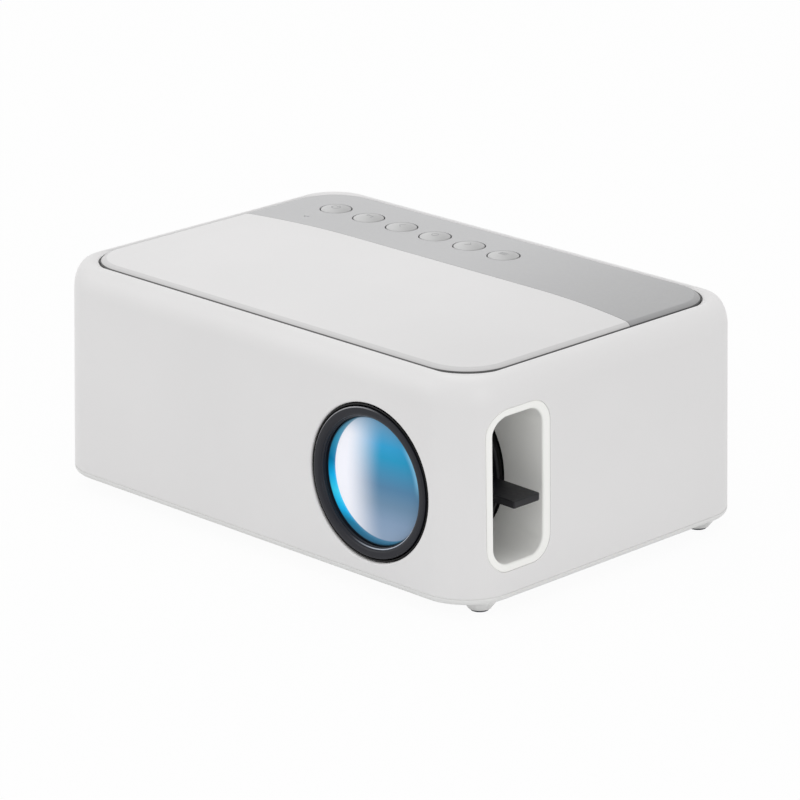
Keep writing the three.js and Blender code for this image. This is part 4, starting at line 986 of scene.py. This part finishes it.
def button(index):
    profile = [(0, STEM_END), (STEM_RADIUS, STEM_END), (STEM_RADIUS, -2.8),
               (FLANGE_RADIUS, -2.8), (FLANGE_RADIUS, -2.2), (BUTTON_RADIUS, -2.2),
               (BUTTON_RADIUS, -0.3)]
    reach = BUTTON_RADIUS - BUTTON_EDGE
    for angle in roll(5, 1):
        profile.append((BUTTON_RADIUS - BUTTON_EDGE * (1 - math.cos(angle)),
                        BUTTON_EDGE * math.sin(angle) - BUTTON_EDGE + dome_height(reach)))
    for i in range(1, 13):
        distance = reach * (1 - i / 12)
        profile.append((distance, dome_height(distance)))
    place = (BUTTON_X[index], BUTTON_Y, LID_TOP_Z)
    cap = lathe(f"button_cap_{index + 1}", profile, "z", place, GREY_BUTTON, 72)
    piece(smooth(cap, 40), f"button_{index + 1}", "grey_button", f"button_{index + 1}")
    for k, points in enumerate(BUTTON_MARKS[index]):
        mark = mark_strip(f"button_mark_{index + 1}_{k + 1}", points)
        mark.data.transform(Matrix.Translation(Vector(place) * MM))
        piece(mark, f"button_{index + 1}", "grey_button")


# ---- lens ----

def lens_axis(name, profile, material):
    """Turned about the lens axis, with distances measured inwards from the front face."""
    return lathe(name, profile, "y", (LENS_X, FRONT_Y, LENS_Z), material, 160)


def lens_bezel():
    inner, outer, mouth, flange = 17.15, 17.55, 0.3, 18.75
    middle, half = (inner + outer) / 2, (outer - inner) / 2
    profile = [(inner, 3.5)]
    for angle in roll(6):
        profile.append((middle - half * math.cos(angle), mouth + half * (1 - math.sin(angle))))
    for angle in roll(6, 1):
        profile.append((middle + half * math.sin(angle), mouth + half * (1 - math.cos(angle))))
    profile += [(outer, 2.3), (flange, 2.3), (flange, 3.5)]
    bezel = smooth(lens_axis("lens_trim", profile, GLOSS), 40)
    piece(bezel, "casing", "black_gloss", "lens_bezel")


def lens_cell():
    bore, head, face = 14.6, 16.9, -0.05
    crest, dish = 15.75, 0.42
    profile = [(12.3, 22.35), (12.3, 15.95), (11.1, 15.95), (11.1, 5.65), (bore, 5.65),
               (bore, 1.3), (bore - 0.16, 1.24), (bore - 0.16, 1.14), (bore, 1.08), (bore, 0.74)]
    # A bevel inside, bright with a painted highlight, a rounded face that falls away inwards, and a
    # crisp outer edge
    profile += [(bore + 0.05, 0.66), (bore + 0.24, 0.47)]
    for angle in roll(9):
        profile.append((crest - (crest - bore - 0.3) * math.cos(angle),
                        face + (dish - face) * (1 - math.sin(angle))))
    profile += [(16.2, face), (head - 0.26, face), (head - 0.2, face + 0.03),
                (head - 0.03, face + 0.2), (head, face + 0.27)]
    profile += [(head, 4.95), (15.2, 4.95), (15.2, 22.35)]
    cell = smooth(lens_axis("lens_barrel", profile, RING), 40)
    piece(cell, "lens_cell", "dark_ring", "lens_cell")


def front_glass():
    radius, sag, apex = 14.4, 1.4, 0.55
    sphere = (radius ** 2 + sag ** 2) / (2 * sag)
    profile = []
    for i in range(25):
        distance = radius * i / 24
        profile.append((distance, apex + sphere - math.sqrt(sphere ** 2 - distance ** 2)))
    profile += [(radius, apex + sag + 3.4), (0, apex + sag + 3.4)]
    glass = smooth(lens_axis("front_element", profile, COATING_AND_PAINTED_REFLECTIONS), 40, weighted=False)
    piece(glass, "lens_cell", "lens_glass", "front_glass")


def focus_ring():
    inner, start, flange = 16.6, 8.6, FLANGE_OUTER
    under = FLANGE_Y - FLANGE_THICKNESS
    profile = [(inner, start + 0.1), (inner + 0.2, start), (RING_OUTER - 0.2, start),
               (RING_OUTER, start + 0.2), (RING_OUTER, under), (flange - 0.05, under),
               (flange, under + 0.05), (flange, FLANGE_Y - 0.12), (flange - 0.12, FLANGE_Y),
               (inner, FLANGE_Y)]
    ring = lens_axis("focus_wheel", profile, BLACK)
    # Lever outline in x and y: a small radius at the front corner and a larger one behind
    x0, x1 = 17.2, RIGHT_X - LENS_X + LEVER_PROUD
    y1 = under + LEVER_BEHIND
    y0 = y1 - LEVER_WIDTH
    outline = [(x0, y1), (x0, y0)]
    outline += arc(x1 - 0.4, y0 + 0.4, 0.4, -90, 0, 6)
    outline += arc(x1 - 0.8, y1 - 0.8, 0.8, 0, 90, 12)
    half, edge = LEVER_THICKNESS / 2, 0.26
    lever = loft("lever", [level(offset_outline(outline, -inset), z) for z, inset in (
        (-half, edge), (-half + edge * 0.3, edge * 0.3), (-half + edge, 0),
        (half - edge, 0), (half - edge * 0.3, edge * 0.3), (half, edge))], BLACK)
    turn = Matrix.Rotation(math.radians(LEVER_TILT), 4, "Y")
    lever.data.transform(Matrix.Translation(Vector((LENS_X, FRONT_Y, LENS_Z)) * MM) @ turn)
    boolean(ring, [lever], "UNION")
    piece(smooth(ring), "focus_ring", "black_plastic", "focus_ring")


# ---- feet, screws, bush ----

def foot_pad(index):
    x, y = FEET[index]
    profile = [(0, 0.0), (1.75, 0.0), (1.98, 0.06), (2.1, 0.25), (2.1, 1.1), (0, 1.1)]
    pad = smooth(lathe(f"rubber_pad_{index + 1}", profile, "z", (x, y, 0), RUBBER, 48), 40)
    piece(pad, "casing", "dark_rubber", f"foot_pad_{index + 1}")


def case_screw(index):
    x, y = POSTS[index]
    start = BASE_Z + FIT_GAP
    neck, end, pitch = start + 1.5, BASE_Z + 12, 0.6
    profile = [(0, start), (1.9, start), (2.2, start + 0.12), (2.3, start + 0.4),
               (2.3, neck), (1.2, neck)]
    z = neck
    while z < end - pitch:
        profile += [(1.2, z + 0.2), (0.95, z + 0.4), (1.2, z + 0.6)]
        z += pitch
    profile += [(0.3, end), (0, end)]
    screw = lathe(f"cross_screw_{index + 1}", profile, "z", (x, y, 0), STEEL, 40)
    arms = []
    for hx, hy in ((1.35, 0.34), (0.34, 1.35)):
        corners = ((hx, hy), (-hx, hy), (-hx, -hy), (hx, -hy))
        arms.append(loft("cutter", [
            level([(x + u * k, y + v * k) for u, v in corners], height)
            for height, k in ((start - 1, 1.0), (start, 1.0), (start + 0.9, 0.62))]))
    boolean(screw, arms)
    piece(smooth(screw, 30), "casing", "screw_steel", f"case_screw_{index + 1}")


def tripod_bush():
    bore, pitch = 3.2, 0.66
    profile = [(3.6, BASE_Z), (4.9, BASE_Z), (5, BASE_Z + 0.1), (5, BASE_Z + 7),
               (bore, BASE_Z + 7)]
    z = BASE_Z + 6.8
    while z > BASE_Z + 0.9:
        profile += [(bore, z), (bore + 0.25, z - 0.32), (bore, z - 0.64)]
        z -= pitch
    profile.append((bore, BASE_Z + 0.4))
    bush = smooth(lathe("threaded_bush", profile, "z", (*BUSH, 0), BRASS, 64), 30)
    piece(bush, "casing", "brass_bush", "tripod_bush")


# ---- sockets ----

def socket_cup(name, outline_out, outline_in, depth, material):
    """A cup along Y with its mouth at the back of the casing."""
    edge = MOUTH_Y - 0.1
    places = [(outline_out, MOUTH_Y - depth), (outline_out, edge),
              (offset_outline(outline_out, -0.1), MOUTH_Y),
              (offset_outline(outline_in, 0.1), MOUTH_Y), (outline_in, edge),
              (outline_in, MOUTH_Y - depth + 1.2)]
    rings = [[(u, y, v) for u, v in outline] for outline, y in places]
    return smooth(loft(name, rings, material), 40)


def bar(name, x_range, y_range, z_range, material, edge=0.12):
    x_mid, z_mid = sum(x_range) / 2, sum(z_range) / 2
    half_x, half_z = (x_range[1] - x_range[0]) / 2, (z_range[1] - z_range[0]) / 2
    radius = min(edge, half_x * 0.9, half_z * 0.9)
    rings = []
    for y, inset in ((y_range[0], 0), (y_range[1] - edge, 0), (y_range[1], edge * 0.7)):
        outline = rounded_rectangle(half_x - min(inset, half_x * 0.8),
                                    half_z - min(inset, half_z * 0.8), radius * 0.5, 3)
        rings.append([(x_mid + u, y, z_mid + v) for u, v in outline])
    return smooth(loft(name, rings, material), 30)


def sockets():
    wall = 0.45
    for name in ("hdmi_socket", "usb_socket", "card_slot"):
        s = SOCKETS[name]
        x, z = s["x"], s["z"]
        half_u, half_v = s["half"]
        if name == "hdmi_socket":
            outer = shifted(d_outline(half_u, half_v), x, z)
            inner = offset_outline(outer, -wall)
        else:
            outer = shifted(rounded_rectangle(half_u, half_v, 0.5, 5), x, z)
            inner = shifted(rounded_rectangle(half_u - wall, half_v - wall, 0.2, 5), x, z)
        cup = socket_cup(f"{name}_shell", outer, inner, s["depth"], SOCKET_STEEL)
        piece(cup, "casing", "socket_steel", name)
        shorter, thickness, above = s["tongue"]
        half = half_u - shorter
        low, high = z + above - thickness / 2, z + above + thickness / 2
        y0, y1 = MOUTH_Y - s["depth"] + 1, MOUTH_Y - 1.2
        tongue = bar(f"{name}_tongue", (x - half, x + half), (y0, y1), (low, high), BLACK)
        piece(tongue, "casing", "socket_steel")
        count = s["contacts"]
        width = half * 0.9 / count
        for i in range(count):
            middle = x + (i - (count - 1) / 2) * (2 * half * 0.86 / count)
            pin = bar(f"{name}_contact_{i + 1}", (middle - width / 2, middle + width / 2),
                      (y0, y1 - 0.5), (low - 0.08, low - 0.08 + 0.14), GOLD, 0.04)
            piece(pin, "casing", "socket_steel")
    for name in ("dc_inlet", "av_jack"):
        s = SOCKETS[name]
        x, z, half, bore = s["x"], s["z"], s["half"][0], s["bore"]
        outer = shifted(rounded_rectangle(half, half, 0.5, 15), x, z)
        turns = [2 * math.pi * (i + 0.5) / 64 for i in range(64)]
        inner = [(x + bore * math.cos(turn), z + bore * math.sin(turn)) for turn in turns]
        cup = socket_cup(f"{name}_block", outer, inner, s["depth"], BLACK)
        piece(cup, "casing", "black_plastic", name)
        at = (x, MOUTH_Y, z)
        if name == "dc_inlet":
            back = -s["depth"] + 0.9
            profile = [(0, back), (1, back), (1, -0.9), (0.8, -0.62), (0, -0.6)]
            part = lathe(f"{name}_pin", profile, "y", at, STEEL, 32)
        else:
            profile = [(bore - 0.25, -0.9), (bore - 0.2, -0.08), (bore - 0.02, 0.0),
                       (bore + 0.75, 0.0), (bore + 0.85, -0.08), (bore + 0.85, -0.2),
                       (bore - 0.01, -0.2), (bore - 0.01, -0.9)]
            part = lathe(f"{name}_sleeve", profile, "y", at, SOCKET_STEEL, 48)
        piece(smooth(part, 40), "casing", "black_plastic")


# ---- carried-over nodes ----

CARRIED = {
    "indicator_light_pipe": PIPE, "button_board": BOARD, "main_board": BOARD,
    "rear_glass": LENS_GLASS, "lens_mount": GLOSS, "light_engine_housing": INNER,
    "light_engine_cover": INNER, "condenser_holder": HOLDER, "condenser_lens": LENS_GLASS,
    "collimating_sheet": CLEAR_SHEET, "display_panel": PANEL_GLASS, "field_sheet": CLEAR_SHEET,
    "fold_mirror": MIRROR, "led_lamp": LAMP, "heat_sink": ALUMINIUM, "fan_frame": BLACK,
    "fan_rotor": BLACK, "speaker": BLACK,
}
CARRIED.update({f"tact_switch_{i}": BLACK for i in range(1, 7)})
CARRIED.update({f"board_screw_{i}": STEEL for i in range(1, 5)})
for node_name, node_material in CARRIED.items():
    obj = nodes[node_name]
    obj.data.materials.clear()
    obj.data.materials.append(node_material)

upper_shell()
base_cover()
top_plate()
button_panel()
window_liner()
for i in range(6):
    button(i)
lens_bezel()
lens_cell()
front_glass()
focus_ring()
for i in range(4):
    foot_pad(i)
    case_screw(i)
tripod_bush()
sockets()

# ---- camera, light and floor ----

# Fitted to the photo
CAMERA_PLACE = Vector((658.43, -661.74, 339.53)) * MM
CAMERA_RIGHT = Vector((0.70948, 0.70473, 0.0))
CAMERA_UP = Vector((-0.22539, 0.22691, 0.94749))
CAMERA_BACK = Vector((0.66772, -0.67222, 0.31982))
CAMERA_ROLL = math.radians(-0.067)
CAMERA_LENS = 195.536
camera_data = bpy.data.cameras.new("camera")
camera_data.lens = CAMERA_LENS
camera_data.sensor_width = 36
camera_data.clip_end = 20
camera = bpy.data.objects.new("camera", camera_data)
scene.collection.objects.link(camera)
right = CAMERA_RIGHT * math.cos(CAMERA_ROLL) + CAMERA_UP * math.sin(CAMERA_ROLL)
up = CAMERA_UP * math.cos(CAMERA_ROLL) - CAMERA_RIGHT * math.sin(CAMERA_ROLL)
turned = Matrix((right, up, CAMERA_BACK)).transposed().to_4x4()
camera.matrix_world = Matrix.Translation(CAMERA_PLACE) @ turned
scene.camera = camera


FULL_LIGHT = (1, 1, 1, 1)
WORLD_STRENGTH = 0.64
FLOOR_HALF = 3.0
GROUND_Z = -0.02  # just under the feet
FLOOR_COLOUR = (0.86, 0.86, 0.86, 1)
FLOOR_GLOW = 0.95


def two_looks(tree, output, usual, direct, share):
    """The usual shader, with a share of the direct one for rays from the camera and for
    mirrored or transmitted ones."""
    path = add_node(tree, "LightPath")
    seen = path.outputs["Is Camera Ray"]
    for name in ("Is Glossy Ray", "Is Transmission Ray"):
        either = add_node(tree, "Math", seen, path.outputs[name])
        either.operation = "MAXIMUM"
        seen = either.outputs[0]
    part = add_node(tree, "Math", seen, share)
    part.operation = "MULTIPLY"
    mix = add_node(tree, "MixShader", part.outputs[0], usual.outputs[0], direct.outputs[0])
    add_node(tree, output, Surface=mix.outputs[0])


def world():
    studio = bpy.data.worlds.new("studio")
    scene.world = studio
    studio.use_nodes = True
    tree = studio.node_tree
    tree.nodes.clear()
    usual = add_node(tree, "Background", Color=FULL_LIGHT, Strength=WORLD_STRENGTH)
    direct = add_node(tree, "Background", Color=FULL_LIGHT, Strength=1.0)
    two_looks(tree, "OutputWorld", usual, direct, 1.0)


def floor():
    half = FLOOR_HALF / MM
    corners = [(-half, -half), (half, -half), (half, half), (-half, half)]
    obj = add_object("floor", level(corners, GROUND_Z), [(0, 1, 2, 3)], None)
    material = bpy.data.materials.new("floor_white")
    material.use_nodes = True
    tree = material.node_tree
    tree.nodes.clear()
    usual = add_node(tree, "BsdfDiffuse", Color=FLOOR_COLOUR)
    direct = add_node(tree, "Emission", Color=FULL_LIGHT)
    two_looks(tree, "OutputMaterial", usual, direct, FLOOR_GLOW)
    obj.data.materials.append(material)


def softbox(name, place, target, size, power):
    data = bpy.data.lights.new(name, "AREA")
    data.shape = "RECTANGLE"
    data.size = data.size_y = size
    data.energy = power
    light = bpy.data.objects.new(name, data)
    scene.collection.objects.link(light)
    light.location = place
    aim = Vector(target) - Vector(place)
    light.rotation_euler = aim.to_track_quat("-Z", "Y").to_euler()


world()
floor()
softbox("top", (-0.1, 0.1, 1.6), (0, 0, 0), 1.6, 7)
softbox("front_left", (-1.2, -1.5, 0.7), (0, 0, 0.03), 1.2, 6)
softbox("right", (1.7, -0.5, 0.35), (0, 0, 0.03), 1.0, 6)
scene.view_settings.view_transform = "Standard"
